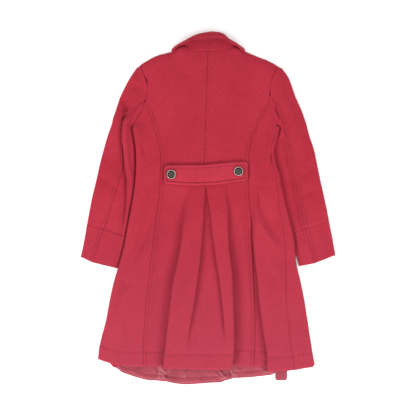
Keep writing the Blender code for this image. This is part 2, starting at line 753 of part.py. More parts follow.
def sleeve_upper(columns, top_of, side):
    """The upper sleeve: back seam, crown, outside fold, and back along the surface."""
    rows = []
    for y_out, y_seam, y_in in sleeve_lines(side):
        points = sleeve_over(columns, top_of, side, y_out, y_seam)
        arm = float(smooth((ARMPIT + 6 - y_in) / 20))
        inner = inside_fold(columns, side, y_in)
        end = inner + side * mix(1.8, 3.6, arm)
        x_turn = points[-1][0]
        for i in range(1, FLOOR_RUN + 1):
            x = mix(x_turn, end, i / FLOOR_RUN)
            points.append((x, mix(y_out, y_in, (x - x_turn) / (inner - x_turn)), FLOOR))
        rows.append(points)
    grid = np.array(rows)
    return grid[:, ::-1] if side < 0 else grid


def sleeve_under(columns, top_of, side, first):
    """The under sleeve: back seam to the inside fold, and down to the surface."""
    rows = []
    for _, y_seam, y_in in sleeve_lines(side):
        if y_seam > first:
            continue
        seam = at(columns, "seam", y_seam)
        inner = inside_fold(columns, side, y_in)
        turn = math.pi * float(smooth((ARMPIT + 6 - y_in) / 20))
        radius = max((TUCK_TURN - FLOOR) / 2, 1.6 / max(turn, 0.01))
        x_turn = inner + side * radius * math.sin(min(max(turn, 0.01), math.pi / 2))
        points = []
        for i in range(7):
            x = mix(seam, x_turn, i / 6)
            y = mix(y_seam, y_in, i / 6)
            points.append((x, y, top_of(x, y)))
        z_top = points[-1][2]
        for i in range(1, SLEEVE_NOSE + 1):
            a = max(turn, 0.01) * i / SLEEVE_NOSE
            points.append((x_turn - side * radius * math.sin(a), y_in + 0.25 * i,
                           z_top - radius * (1 - math.cos(a))))
        rows.append(points)
    grid = np.array(rows)
    return grid[:, ::-1] if side > 0 else grid


def joined(first, second):
    """Two pieces of a sleeve, with one direction of thickness along the seam that they share."""
    n1, n2 = normals(first), normals(second)
    rows = min(len(first), len(second))
    shared = unit(n1[-rows:, -1] + n2[-rows:, 0])
    n1[-rows:, -1] = shared
    n2[-rows:, 0] = shared
    return (pull_both(first), n1), (pull_both(second), n2)


def cuff(columns, top_of, side, seam_line, hem_line):
    """A turned band round the sleeve's end, open only at the back seam."""
    rows = []
    for t in (0.0, 0.12, 0.9, 1.0):
        y_out, y_seam, y_in = (mix(a, b, t) for a, b in zip(seam_line, hem_line))
        points = sleeve_over(columns, top_of, side, y_out, y_seam)
        x_turn = points[-1][0]
        inner = at(columns, "inner", y_in)
        x_in = inner + side * (TUCK_TURN - FLOOR) / 2
        for i in range(1, FLOOR_RUN + 1):
            x = mix(x_turn, x_in, i / FLOOR_RUN)
            points.append((x, mix(y_out, y_in, (x - x_turn) / (inner - x_turn)), FLOOR))
        points += [(x, y_in, FLOOR + TUCK_TURN - z)
                   for x, z in half_turn(x_in, TUCK_TURN, FLOOR, -side, SLEEVE_NOSE)]
        seam = at(columns, "seam", y_seam)
        for i in range(1, 5):
            x = mix(x_in, seam, i / 4)
            y = mix(y_in, y_seam, i / 4)
            points.append((x, y, top_of(x, y)))
        rows.append(points)
    grid = np.array(rows)
    grid = grid[:, ::-1] if side < 0 else grid
    n = normals(grid)
    n[:, 0] = n[:, -1] = unit(n[:, 0] + n[:, -1])
    return pull_in(pull_both(grid), "first", SEAM_HALF * 2), n


def bezier(p0, p1, p2, p3, t):
    s = 1 - t
    return [s ** 3 * a + 3 * s * s * t * b + 3 * s * t * t * c + t ** 3 * d
            for a, b, c, d in zip(p0, p1, p2, p3)]


COLLAR_COLS = 22


def collar_points(x):
    """Neck seam, fold line and loose edge at one place across the neck, as (y, z)."""
    fold = (at(COLLAR, "fold_y", x, "x") - COLLAR_CLOTH / 2, at(COLLAR, "fold_z", x, "x"))
    edge = (at(COLLAR, "edge_y", x, "x") + COLLAR_CLOTH / 2, at(COLLAR, "edge_z", x, "x"))
    neck = (line(TOP, "y", x, "x") + 1.7, 7.4)
    return neck, fold, edge


def collar_curve(x, t):
    """Along the collar's section: 0 at the neck seam, 1 at the fold, 2 at the loose edge."""
    neck, fold, edge = collar_points(x)
    if t <= 1:
        c1 = (neck[0] + 0.5 * (fold[0] - neck[0]), neck[1] + 0.5)
        c2 = (fold[0], mix(fold[1], neck[1], 0.6))
        return bezier(neck, c1, c2, fold, t)
    c1 = (fold[0], mix(fold[1], edge[1], 0.55))
    c2 = (edge[0] + 0.45 * (fold[0] - edge[0]), edge[1] - 1.0)
    return bezier(fold, c1, c2, edge, t - 1)


def collar_grid(first, last, steps, ends):
    rows = []
    for j in range(steps + 1):
        t = mix(first, last, j / steps)
        row = []
        for i in range(COLLAR_COLS + 1):
            x = mix(ends[0], ends[1], i / COLLAR_COLS)
            y, z = collar_curve(x, t)
            row.append((x, y, z))
        rows.append(row)
    grid = np.array(rows)[::-1]
    return grid, normals(grid)


def half_belt():
    x0, x1 = BELT["x"][0], BELT["x"][-1]
    stops = [0.4, 2.0, 5.0, 8.5, 13.0]
    xs = [x0 + s for s in stops] + list(np.linspace(x0 + 30, x1 - 30, 10))
    xs += [x1 - s for s in reversed(stops)]
    rows = []
    for v in (0.0, 0.08, 0.5, 0.92, 1.0):
        row = []
        for x in xs:
            near = min(x - x0, x1 - x)
            inset = 0.0
            if near < BELT_CORNER:
                inset = BELT_CORNER - math.sqrt(BELT_CORNER ** 2 - (BELT_CORNER - near) ** 2)
            top = at(BELT, "top", x, "x") - inset
            low = at(BELT, "low", x, "x") + inset
            row.append((x, mix(top, low, v), BELT_HEIGHT))
        rows.append(row)
    grid = np.array(rows)
    return grid, normals(grid)


BUTTON_PROFILE = [(0.0, 0.0), (11.6, 0.0), (13.2, 1.0), (13.5, 2.4), (12.9, 4.0), (11.8, 4.4),
                  (10.7, 3.6), (9.8, 2.6), (6.2, 2.4), (5.0, 3.6), (2.6, 4.2), (0.0, 4.3)]


def button(name, place, material):
    """A turned metal button: a raised rim round a dish with a plain dome in it."""
    count = 20
    base = BELT_HEIGHT + BELT_CLOTH / 2 + GAP
    bm = bmesh.new()
    rings = []
    for radius, height in BUTTON_PROFILE:
        if radius == 0:
            rings.append([bm.verts.new((place[0] * 0.001, place[1] * 0.001, (base + height) * 0.001))])
            continue
        ring = []
        for i in range(count):
            a = 2 * math.pi * i / count
            ring.append(bm.verts.new(((place[0] + radius * math.cos(a)) * 0.001,
                                      (place[1] + radius * math.sin(a)) * 0.001,
                                      (base + height) * 0.001)))
        rings.append(ring)
    for a, b in zip(rings, rings[1:]):
        for i in range(count):
            j = (i + 1) % count
            if len(a) == 1:
                bm.faces.new((a[0], b[j], b[i]))
            elif len(b) == 1:
                bm.faces.new((a[i], a[j], b[0]))
            else:
                add_quad(bm, [a[i], a[j], b[j], b[i]])
    return add_object(name, bm, material)


def hem_lining(stops, lift):
    """Lining that shows below the back hem, a little inside the front's own hem."""
    rows = []
    for v in (0.0, 0.35, 0.7, 1.0):
        row = [(x, mix(-415.0, line(FRONT_HEM, "y", x, "x") + 4.5, v), lift(x)) for x in stops]
        rows.append(row)
    grid = np.array(rows)
    return grid, normals(grid)


LINING_ON_FLOOR = FLOOR + WOOL / 2 + GAP + LINING / 2


def lining_height(x):
    over = climb_start(-400.0)
    return LINING_ON_FLOOR + 0.1 + LAYER * float(np.clip((x - over + 3) / 14, 0, 1))


def facing_tab():
    rows = []
    for y, narrow, z in ((-440, 0, 3.6), (-470, 0, 3.6), (-492, 0, 3.0), (-497, 1.0, 2.6),
                         (-499.5, 4.0, 2.4)):
        row = []
        for u in (0.0, 0.12, 0.5, 0.88, 1.0):
            row.append((mix(195 + narrow, 229 - narrow, u), y, z))
        rows.append(row)
    grid = np.array(rows)
    return grid, normals(grid)


def make_material(name, colour, roughness, metallic=0.0):
    material = bpy.data.materials.new(name)
    material.use_nodes = True
    shader = material.node_tree.nodes["Principled BSDF"]
    shader.inputs["Base Color"].default_value = (*colour, 1.0)
    shader.inputs["Roughness"].default_value = roughness
    shader.inputs["Metallic"].default_value = metallic
    return material


def wool(name):
    return make_material(name + "_wool", WOOL_RED, 0.9)


def build_back():
    for name, (grid, n) in back_grids().items():
        cloth(name, grid, n, WOOL, wool(name))


def build_fronts():
    for name, side in (("front_left", -1), ("front_right", 1)):
        grid, n = front_grid(side)
        for edge in ("left", "right"):
            grid = pull_in(grid, edge, SEAM_HALF)
        cloth(name, grid, n, WOOL, wool(name))


def build_sleeves():
    left = (SLEEVE_L, left_sleeve_top, -1)
    right = (SLEEVE_R, right_sleeve_top, 1)
    upper_l, under_l = joined(sleeve_upper(*left), sleeve_under(*left, 309))
    under_r, upper_r = joined(sleeve_under(*right, 328), sleeve_upper(*right))
    pieces = {
        "sleeve_upper_left": upper_l,
        "sleeve_upper_right": upper_r,
        "sleeve_under_left": under_l,
        "sleeve_under_right": under_r,
        "cuff_left": cuff(*left, (-49, -61, -84), (-143, -163, -176)),
        "cuff_right": cuff(*right, (-39, -60, -72), (-138, -160, -168)),
    }
    for name, (grid, n) in pieces.items():
        cloth(name, grid, n, WOOL, wool(name))


def build_collar():
    grid, n = collar_grid(0.0, 2.0, 9, (-98.0, 98.0))
    cloth("collar", grid, n, COLLAR_CLOTH, wool("collar"))


def build_belt():
    grid, n = half_belt()
    cloth("half_belt", grid, n, BELT_CLOTH, wool("half_belt"))
    for name, place in BUTTONS.items():
        button(name, place, make_material(name + "_metal", PEWTER, 0.35, 1.0))


def build_hem():
    over = climb_start(-400.0)
    left = list(np.linspace(-262, over - 3, 8)) + list(np.linspace(over + 11, 54, 9))
    parts = {"lining_left": hem_lining(left, lining_height),
             "lining_right": hem_lining(np.linspace(64, 190, 8), lambda x: LINING_ON_FLOOR),
             "facing_tab": facing_tab()}
    for name, (grid, n) in parts.items():
        cloth(name, grid, n, LINING, make_material(name + "_satin", LINING_RED, 0.45))


def clear_scene():
    for obj in list(bpy.data.objects):
        bpy.data.objects.remove(obj, do_unlink=True)


def centre_parts():
    """Put the middle of the part's bounding box on the origin, lowest point at zero."""
    objects = [o for o in bpy.data.objects if o.type == "MESH"]
    points = np.array([v.co[:] for o in objects for v in o.data.vertices])
    low = points.min(axis=0)
    high = points.max(axis=0)
    shift = np.array([(low[0] + high[0]) / 2, (low[1] + high[1]) / 2, low[2]])
    for obj in objects:
        for vertex in obj.data.vertices:
            vertex.co = [a - b for a, b in zip(vertex.co, shift)]


clear_scene()
build_back()
build_fronts()
build_sleeves()
build_collar()
build_belt()
build_hem()
centre_parts()
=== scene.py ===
"""The looks of the wool coat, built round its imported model.

Every piece of cloth is made again on the solids' own sections, with far more points and somewhat deeper
folds, and is given its seams, topstitching, creases and drag folds. Lengths are in millimetres until the
meshes are made. X runs across the coat, Y towards the collar, Z up from the surface that it lies on.
"""

import math

import bpy
import numpy as np
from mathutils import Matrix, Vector


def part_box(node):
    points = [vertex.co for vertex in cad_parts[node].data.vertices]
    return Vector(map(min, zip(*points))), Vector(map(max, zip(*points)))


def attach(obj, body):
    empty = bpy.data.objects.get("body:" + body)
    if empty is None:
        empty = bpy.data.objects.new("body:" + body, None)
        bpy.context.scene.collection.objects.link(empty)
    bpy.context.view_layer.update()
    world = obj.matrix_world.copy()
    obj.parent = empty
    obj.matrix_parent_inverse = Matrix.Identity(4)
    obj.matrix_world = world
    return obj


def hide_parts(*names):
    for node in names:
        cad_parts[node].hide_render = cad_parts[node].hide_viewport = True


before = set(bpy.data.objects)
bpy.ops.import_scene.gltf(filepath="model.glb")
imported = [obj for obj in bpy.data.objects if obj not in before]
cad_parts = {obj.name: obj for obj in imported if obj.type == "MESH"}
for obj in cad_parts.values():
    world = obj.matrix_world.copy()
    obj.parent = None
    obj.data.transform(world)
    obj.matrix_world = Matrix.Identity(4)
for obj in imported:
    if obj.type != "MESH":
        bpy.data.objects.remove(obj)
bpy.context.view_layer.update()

# Sizes of the cloth
WOOL = 2.4
LINING = 1.0
COLLAR_CLOTH = 3.0
BELT_CLOTH = 4.0
GAP = 0.3
FLOOR = WOOL / 2
LAYER = WOOL + GAP
TIGHTEST = 1.45
SEAM_EASE = 0.03

# Where things are, along the coat
ARMPIT = 244.0
PLEATS_START = 64.0
HEM_EASE = -383.0
HEM_END = -470.0
YOKE_END = 309.0

# Stations beside a seam, in mm from it: with topstitching, and without
STITCHED = (0.7, 1.4, 2.4, 3.8, 5.2, 6.4, 7.4, 8.1, 8.7, 9.3, 10.1, 11.2, 13.0, 16.0)
PLAIN = (0.7, 1.4, 2.4, 4.0, 7.0)

# Columns in each stretch of the back's sections, and the distance between its rows
ARC, NOSE, SIDE_RUN, NEAR_RUN, BOX_RUN = 6, 10, 26, 22, 16
PLEAT_RUN, PANEL_RUN, LAP_RUN, EDGE_RUN = 8, 22, 8, 12
ROW_STEP = 4.2


def table(names, rows):
    """A short table with named columns, sorted by its first column, with the slopes of its curves."""
    data = np.array(sorted(rows), dtype=float)
    columns = {name: data[:, i] for i, name in enumerate(names.split())}
    columns["slopes"] = {name: slopes_of(data[:, 0], v) for name, v in columns.items()}
    return columns


def slopes_of(x, v):
    """Slopes of a smooth curve through the rows that never runs past them."""
    steps = np.diff(v) / np.maximum(np.diff(x), 1e-9)
    slopes = np.zeros(len(v))
    slopes[0], slopes[-1] = steps[0], steps[-1]
    for i in range(1, len(v) - 1):
        a, b = steps[i - 1], steps[i]
        slopes[i] = 2 * a * b / (a + b) if a * b > 0 else 0.0
    return slopes


# Seams and outside edges across the body, each at its distance along the coat
BODY = table("y edge_l seam_l centre seam_r side_r edge_r", [
    (415, -194, -194, 1, 200, 200, 200),
    (397, -189, -189, 0, 194, 194, 194),
    (383, -183, -183, 0, 188, 188, 188),
    (367, -176, -176, 0, 183, 183, 183),
    (348, -175, -175, -1, 180, 180, 180),
    (325, -178, -178, -2, 178, 178, 178),
    (313, -180, -180, -4, 177, 177, 177),
    (309, -182, -179, -4, 177, 177, 177),
    (295, -186, -175, -5, 171, 178, 178),
    (278, -193, -171, -5, 164, 181, 181),
    (258, -205, -162, -6, 153, 191, 191),
    (250, -209, -161, -6, 148, 196, 196),
    (244, -212, -159, -7, 144, 199, 200),
    (232, -217, -156, -7, 140, 198, 206),
    (206, -213, -147, -9, 128, 192, 200),
    (168, -207, -139, -9, 120, 182, 190),
    (130, -206, -136, -10, 117, 186, 195),
    (96, -208, -137, -9, 116, 196, 206),
    (64, -211, -139, -7, 117, 200, 212),
    (23, -217, -142, -6, 119, 204, 220),
    (-20, -225, -149, -5, 123, 210, 231),
    (-64, -233, -154, -4, 127, 218, 242),
    (-107, -241, -158, -4, 129, 222, 249),
    (-157, -254, -166, -3, 131, 225, 254),
    (-209, -270, -170, -3, 133, 225, 266),
    (-267, -283, -178, -3, 135, 226, 278),
    (-325, -294, -182, -3, 136, 233, 287),
    (-383, -309, -186, -3, 136, 238, 296),
    (-418, -314, -187, -3, 135, 244, 301),
    (-470, -317, -187, -3, 133, 252, 308),
])

# Edges of the skirt's folds: the raised box, the inverted pleat in it, and the lap on the right
FOLDS = table("y crest pleat_l pleat_r box lap", [
    (64, -58, -9, -3.5, 52, 124),
    (23, -60, -11.5, 2.5, 54, 123),
    (-20, -65, -14, 9, 56, 124),
    (-64, -71, -17, 13, 57, 129),
    (-107, -77, -20, 19, 59, 133),
    (-157, -87, -25, 26, 65, 138),
    (-209, -99, -32, 35, 70, 144),
    (-267, -107, -40, 41, 72, 149),
    (-325, -114, -51, 47, 74, 157),
    (-383, -120, -59, 50, 75, 165),
    (-418, -124, -61, 51, 74, 171),
    (-470, -129, -63, 51, 68, 174),
])

# Heights of the middle of the cloth above the surface
LEVELS = table("y top_l low_l box under recess side_r top_r low_r", [
    (309, 9.4, 9.4, 10.2, 9.3, 9.3, 9.5, 9.4, 9.4),
    (250, 9.4, 9.0, 10.2, 9.3, 9.3, 9.5, 9.4, 9.0),
    (230, 14.5, 7.3, 10.2, 9.3, 9.3, 9.5, 14.5, 7.3),
    (130, 16.0, 7.3, 10.2, 9.3, 9.3, 9.5, 16.0, 7.3),
    (68, 16.0, 7.3, 10.5, 9.3, 9.3, 9.9, 16.0, 7.3),
    (56, 16.0, 7.3, 13.0, 9.0, 8.9, 10.8, 16.0, 7.3),
    (23, 16.0, 7.3, 16.4, 9.2, 8.0, 13.0, 16.0, 7.3),
    (-20, 16.0, 7.3, 19.6, 10.5, 7.3, 15.6, 16.0, 7.3),
    (-64, 16.0, 7.3, 22.3, 12.0, 7.0, 18.0, 16.0, 7.3),
    (-107, 16.0, 7.3, 24.0, 13.2, 6.9, 19.5, 15.5, 7.0),
    (-157, 15.5, 7.3, 26.0, 14.4, 6.8, 21.0, 12.5, 1.2),
    (-190, 14.5, 7.3, 26.8, 15.0, 6.8, 22.0, 11.5, 1.2),
    (-222, 12.4, 3.4, 27.2, 15.6, 6.8, 22.6, 10.8, 1.2),
    (-248, 11.0, 1.2, 27.4, 16.0, 6.8, 22.9, 10.3, 1.2),
    (-267, 10.5, 1.2, 27.4, 16.4, 6.8, 23.0, 10.0, 1.2),
    (-325, 10.0, 1.2, 27.0, 17.6, 6.8, 23.0, 9.6, 1.2),
    (-370, 9.6, 1.2, 26.0, 20.5, 6.8, 22.4, 9.2, 1.2),
    (-418, 9.2, 1.2, 25.0, 24.6, 6.8, 21.6, 9.0, 1.2),
    (-470, 9.0, 1.2, 24.2, 24.1, 6.8, 21.2, 9.0, 1.2),
])

# How far each fold turns (degrees) and laps (mm)
TURNS = table("y crest crest_lap pleat pleat_lap box box_lap lap lap_lap", [
    (64, 10, 2, 80, 0.3, 14, 2, 2.5, 4),
    (23, 55, 1, 100, 1, 65, 1, 24, 1),
    (-20, 90, 1, 120, 2, 105, 2, 60, 1),
    (-64, 120, 3, 145, 4, 140, 4, 110, 2),
    (-107, 140, 5, 160, 6, 160, 7, 145, 5),
    (-157, 154, 7, 166, 8, 170, 9, 165, 8),
    (-209, 160, 9, 170, 10, 172, 11, 170, 10),
    (-325, 163, 10, 150, 4, 172, 12, 170, 12),
    (-370, 162, 10, 60, 1, 172, 11, 170, 12),
    (-418, 160, 9, 10, 1, 168, 10, 168, 10),
    (-470, 150, 7, 2.5, 1, 164, 8, 164, 8),
])

# Shoulder line, neck seam and shoulder line again, from left to right
TOP = table("x y", [
    (-194, 415), (-180, 424), (-168, 431), (-154, 438), (-139, 444), (-125, 447), (-107, 451),
    (-93, 458), (-78, 464), (-64, 463), (-52, 458), (-32, 455), (0, 455), (23, 456), (41, 458),
    (58, 462), (72, 464), (87, 461), (110, 452), (122, 447), (136, 441), (151, 435), (165, 430),
    (180, 423), (191, 418), (200, 412),
])

# Hem of the back, then of the front, which shows below it
BACK_HEM = table("x y", [
    (-319, -438), (-290, -447), (-255, -455), (-226, -458), (-130, -460), (-127, -464),
    (-110, -467), (-52, -464), (-23, -464), (6, -467), (67, -465), (93, -460), (150, -461),
    (177, -471), (193, -472), (230, -470), (251, -468), (279, -463), (303, -460), (309, -455),
])
FRONT_HEM = table("x y", [
    (-312, -436), (-295, -444), (-281, -452), (-275, -461), (-263, -464), (-250, -476),
    (-222, -486), (-180, -498), (-123, -502), (-95, -508), (-69, -511), (-44, -510), (9, -506),
    (38, -505), (50, -499), (66, -498), (71, -493), (116, -491), (157, -487), (186, -483),
    (197, -476), (229, -466), (267, -458), (302, -450), (312, -444),
])

# Sleeves: the outside fold, the back seam and the inside fold
SLEEVE_L = table("y outer seam inner", [
    (412, -199, -194, -194), (397, -211, -189, -189), (377, -224, -182, -182),
    (348, -240, -175, -175), (325, -251, -178, -178), (313, -256, -180, -180),
    (309, -257, -184, -182), (295, -262, -200, -186),
    (278, -267, -216, -193), (258, -274, -236, -205), (244, -277, -244, -212),
    (232, -281, -246, -212), (206, -290, -246, -209), (168, -301, -246, -203),
    (130, -311, -244, -202), (81, -322, -257, -205), (23, -336, -275, -213),
    (-20, -344, -287, -221), (-58, -351, -300, -228), (-93, -357, -312, -235),
    (-128, -364, -325, -243), (-170, -376, -338, -255),
])
SLEEVE_R = table("y outer seam inner", [
    (412, 206, 200, 200), (397, 218, 194, 194), (377, 232, 186, 186), (348, 243, 180, 180),
    (325, 251, 181, 178), (312, 256, 189, 177), (295, 263, 198, 178), (278, 270, 207, 181),
    (258, 278, 215, 191), (244, 283, 219, 200), (232, 286, 221, 201), (206, 293, 226, 196),
    (168, 306, 235, 186), (130, 314, 242, 191), (81, 324, 252, 204), (23, 337, 264, 216),
    (-20, 346, 273, 228), (-58, 353, 282, 238), (-93, 360, 291, 246), (-128, 366, 300, 254),
    (-170, 375, 309, 266),
])
# The deep crease down the left sleeve: where it is, and how deep
CREASE = table("y x depth", [
    (322, -235, 0), (300, -236, 2), (278, -238, 5), (244, -247, 7), (206, -249, 7),
    (168, -246, 7), (130, -243, 7), (81, -235, 6.5), (23, -236, 5.5), (-20, -241, 4.5),
    (-58, -247, 3), (-107, -256, 2), (-170, -268, 1),
])

# Collar, from left to right: fold line, loose edge, and their heights
COLLAR = table("x fold_y edge_y fold_z edge_z", [
    (-106, 456, 453, 9.0, 11.0), (-103, 459.5, 455, 10.5, 15.0), (-93, 469, 462.5, 11.5, 19.0),
    (-81, 476, 470.5, 11.8, 22.0), (-67, 483.5, 477.5, 12.2, 24.0), (-52, 493, 481, 12.8, 25.5),
    (-38, 500, 484, 13.5, 26.5), (-23, 505, 481, 14.0, 27.0), (-6, 508, 483, 14.5, 27.0),
    (12, 510, 485, 14.5, 27.0), (29, 509, 485, 14.0, 27.0), (46, 503, 482, 13.2, 26.0),
    (62, 488, 479, 12.5, 24.5), (78, 478.5, 472.5, 12.0, 22.5), (93, 469, 462.5, 11.5, 19.0),
    (103.5, 460.5, 456, 10.5, 15.0), (107, 456, 453, 9.0, 11.0),
])

# Half belt: its two long edges, from left to right
BELT = table("x top low", [
    (-128, 124, 71), (-81, 125, 67), (-52, 125, 65.5), (-9, 125.5, 66), (20, 128.5, 67.5),
    (49, 131, 71), (78, 133.5, 75), (115, 136, 79),
])
BELT_CORNER = 11.0
BELT_HEIGHT = 13.8
BELT_TOP = BELT_HEIGHT + BELT_CLOTH / 2
BUTTONS = {"button_left": (-106.0, 97.0), "button_right": (88.0, 106.0)}

# Front openings, hidden under the back
NECK_Y = 459.0
BREAK_Y = 283.0
FRONT_L_EDGE = 58.0
FRONT_R_EDGE = -125.0


def smooth(t):
    t = np.clip(t, 0.0, 1.0)
    return t * t * (3 - 2 * t)


def ease(t):
    return float(smooth(t))


def mix(a, b, t):
    return a + (b - a) * t


def bump(value, centre, width):
    return np.exp(-((value - centre) / width) ** 2)


def spaced(first, last, count):
    return list(np.linspace(first, last, count))


def below_armpit(y, start=2, length=14):
    """0 at the armhole and 1 on the side edge below it."""
    return ease((ARMPIT + start - y) / length)


def at(columns, name, value, key="y"):
    """A table's column at one place, as a smooth curve through its rows."""
    x, v, slopes = columns[key], columns[name], columns["slopes"][name]
    value = min(max(value, x[0]), x[-1])
    i = min(max(int(np.searchsorted(x, value)) - 1, 0), len(x) - 2)
    h = x[i + 1] - x[i]
    t = (value - x[i]) / h
    a = (1 + 2 * t) * (1 - t) ** 2
    b = t * (1 - t) ** 2
    c = t * t * (3 - 2 * t)
    d = t * t * (t - 1)
    return float(a * v[i] + b * h * slopes[i] + c * v[i + 1] + d * h * slopes[i + 1])


def line(columns, name, value, key="y"):
    """A table's column at one place, straight between its rows."""
    return float(np.interp(value, columns[key], columns[name]))


def noise(x, y, size, seed):
    """Smooth uneven values from -1 to 1 over a plane, about one bump per size."""
    values = np.random.default_rng(seed).uniform(-1, 1, (64, 64))
    u, v = np.asarray(x) / size + 31.7, np.asarray(y) / size + 17.3
    i, j = np.floor(u).astype(int), np.floor(v).astype(int)
    a, b = smooth(u - i), smooth(v - j)
    low = mix(values[i % 64, j % 64], values[(i + 1) % 64, j % 64], a)
    high = mix(values[i % 64, (j + 1) % 64], values[(i + 1) % 64, (j + 1) % 64], a)
    return mix(low, high, b)


def shares(length, start=(), end=(), count=0):
    """Stations along a run: at stated distances from its ends, and evenly between them."""
    reach = (start[-1] if start else 0) + (end[-1] if end else 0)
    scale = min(1.0, 0.8 * max(length, 0.1) / reach) if reach else 1.0
    first = [s * scale / max(length, 0.1) for s in start]
    last = [1 - s * scale / max(length, 0.1) for s in reversed(end)]
    low = first[-1] if first else 0.0
    high = last[0] if last else 1.0
    return first + [mix(low, high, i / (count + 1)) for i in range(1, count + 1)] + last + [1.0]


def base_height(x, y):
    """The back without folds: nearly flat, fuller over the shoulder blades."""
    blades = 2.6 * math.exp(-((abs(x) - 88) / 52) ** 2 - ((y - 330) / 75) ** 2)
    return 9.4 + blades


def run(points, x, z, hem, start=(), end=(), count=0):
    """Cloth that goes on to a place, level at both ends."""
    x0, z0, hem0 = points[-1]
    for t in shares(abs(x - x0), start, end, count):
        points.append((mix(x0, x, t), mix(z0, z, ease(t)), mix(hem0, hem, t)))


def fold_shape(high, low, lap, degrees):
    """A step or fold in the cloth, from its high side to its low side, bulging towards +X."""
    drop = max(high - low, 0.12)
    turn = min(math.radians(max(degrees, 2.0)), math.acos(max(1 - drop / (2 * TIGHTEST), -1.0)))
    room = (drop - 2 * TIGHTEST * (1 - math.cos(turn))) / math.sin(min(turn, math.pi - 0.02))
    lap = min(lap, max(room, 0.05))
    radius = (drop - lap * math.sin(turn)) / (2 * (1 - math.cos(turn)))
    start = -radius * math.sin(min(turn, math.pi / 2))
    points = []
    for i in range(ARC + 1):
        a = turn * i / ARC
        points.append((start + radius * math.sin(a), high - radius * (1 - math.cos(a))))
    x, z = points[-1]
    x += lap * math.cos(turn)
    z -= lap * math.sin(turn)
    points.append((x, z))
    for i in range(1, ARC + 1):
        a = turn * i / ARC
        points.append((x + radius * (math.sin(turn) - math.sin(turn - a)),
                       z - radius * (math.cos(turn - a) - math.cos(turn))))
    return points


FOLD = 2 * ARC + 1


def lay_fold(points, edge, shape, hem):
    """The rest of a fold's points, with the hem's place going over to its new one."""
    hem0 = points[-1][2]
    for i, (x, z) in enumerate(shape[1:], 1):
        points.append((edge + x, z, mix(hem0, hem, i / FOLD)))


def fold_down(points, edge, low, lap, degrees, hem, **stations):
    """Level cloth, then a fold that drops on its right side."""
    high = points[-1][1]
    shape = fold_shape(high, low, lap, degrees)
    run(points, edge + shape[0][0], high, points[-1][2], **stations)
    lay_fold(points, edge, shape, hem)


def fold_up(points, edge, high, lap, degrees, hem, room, low=None, **stations):
    """Low cloth, then a fold that rises on its right side."""
    low = points[-1][1] if low is None else low
    shape = [(-x, z) for x, z in reversed(fold_shape(high, low, lap, degrees))]
    edge = max(edge, points[-1][0] + room - shape[0][0])
    run(points, edge + shape[0][0], low, points[-1][2], **stations)
    lay_fold(points, edge, shape, hem)


def nose(edge, top, low, amount, side):
    """The rounded side edge of the body, from below to above; amount 0 is a plain cut edge."""
    turn = math.pi * amount
    length = mix(2.0, math.pi * (top - low) / 2, amount)
    if amount < 0.02:
        return [(edge - side * length * i / NOSE, top) for i in range(NOSE + 1)]
    radius = length / turn
    reach = radius * math.sin(min(turn, math.pi / 2))
    points = []
    for i in range(NOSE + 1):
        a = turn * (1 - i / NOSE)
        points.append((edge + side * (radius * math.sin(a) - reach), top - radius * (1 - math.cos(a))))
    return points


# Column numbers of the seams in a back section
SEAM_L = NOSE + SIDE_RUN + len(PLAIN) + 1
HALF = 2 * (len(STITCHED) + 1) + NEAR_RUN + PLEAT_RUN + BOX_RUN + 1 + 2 * FOLD
CENTRE = SEAM_L + HALF
SEAM_R = CENTRE + HALF
LAP = SEAM_R + len(PLAIN) + LAP_RUN + 1 + FOLD
SIDE_R = LAP + PANEL_RUN + len(PLAIN) + 1
INNER = HALF - 2 * len(STITCHED) - 1
AT_STITCH = STITCHED.index(8.7) + 1


def settle(y, hem):
    """Rows near the hem close up or spread so that the last one lies on the hem line."""
    if y >= HEM_EASE:
        return y
    return HEM_EASE + (y - HEM_EASE) * (hem - HEM_EASE) / (HEM_END - HEM_EASE)


def hem_at(x):
    return line(BACK_HEM, "y", x, "x")


def left_side(y):
    """From the left side edge to the left back seam."""
    edge = at(BODY, "edge_l", y)
    seam = at(BODY, "seam_l", y)
    top = at(LEVELS, "top_l", y)
    low = at(LEVELS, "low_l", y)
    closed = below_armpit(y)
    points = [(x, z, hem_at(edge)) for x, z in nose(edge + 0.2, top, low, closed, -1)]
    x0, z0, _ = points[-1]
    reach = max(seam - x0, 60.0)
    for t in shares(seam - x0, (), PLAIN, SIDE_RUN):
        x = mix(x0, seam, t)
        points.append((x, mix(z0, base_height(x, y), ease((x - x0) / reach)), hem_at(x)))
    return points


def folded_back(points, y):
    """The box panel with its inverted pleat, as far as the side seam."""
    box = at(LEVELS, "box", y)
    under = at(LEVELS, "under", y)
    recess = at(LEVELS, "recess", y)
    side = at(LEVELS, "side_r", y)
    turn = {name: line(TURNS, name, y) for name in TURNS if name != "slopes"}
    edge = {name: at(FOLDS, name, y) for name in FOLDS if name != "slopes"}
    fold_up(points, edge["crest"], box, turn["crest_lap"], turn["crest"], -464, 3.0,
            low=recess - 0.2, start=STITCHED, count=NEAR_RUN)
    fold_down(points, edge["pleat_l"], under, turn["pleat_lap"], turn["pleat"], -465, count=BOX_RUN)
    middle = max(at(BODY, "centre", y), points[-1][0] + 1.5)
    run(points, middle, under, -466, end=STITCHED, count=PLEAT_RUN)
    fold_up(points, edge["pleat_r"], box, turn["pleat_lap"], turn["pleat"], -466, 1.5,
            start=STITCHED, count=PLEAT_RUN)
    fold_down(points, edge["box"], recess, turn["box_lap"], turn["box"], -454, count=BOX_RUN)
    run(points, at(BODY, "seam_r", y), recess, -459, end=STITCHED, count=NEAR_RUN)
    fold_up(points, edge["lap"], side, turn["lap_lap"], turn["lap"], -471, 3.0,
            start=PLAIN, count=LAP_RUN)


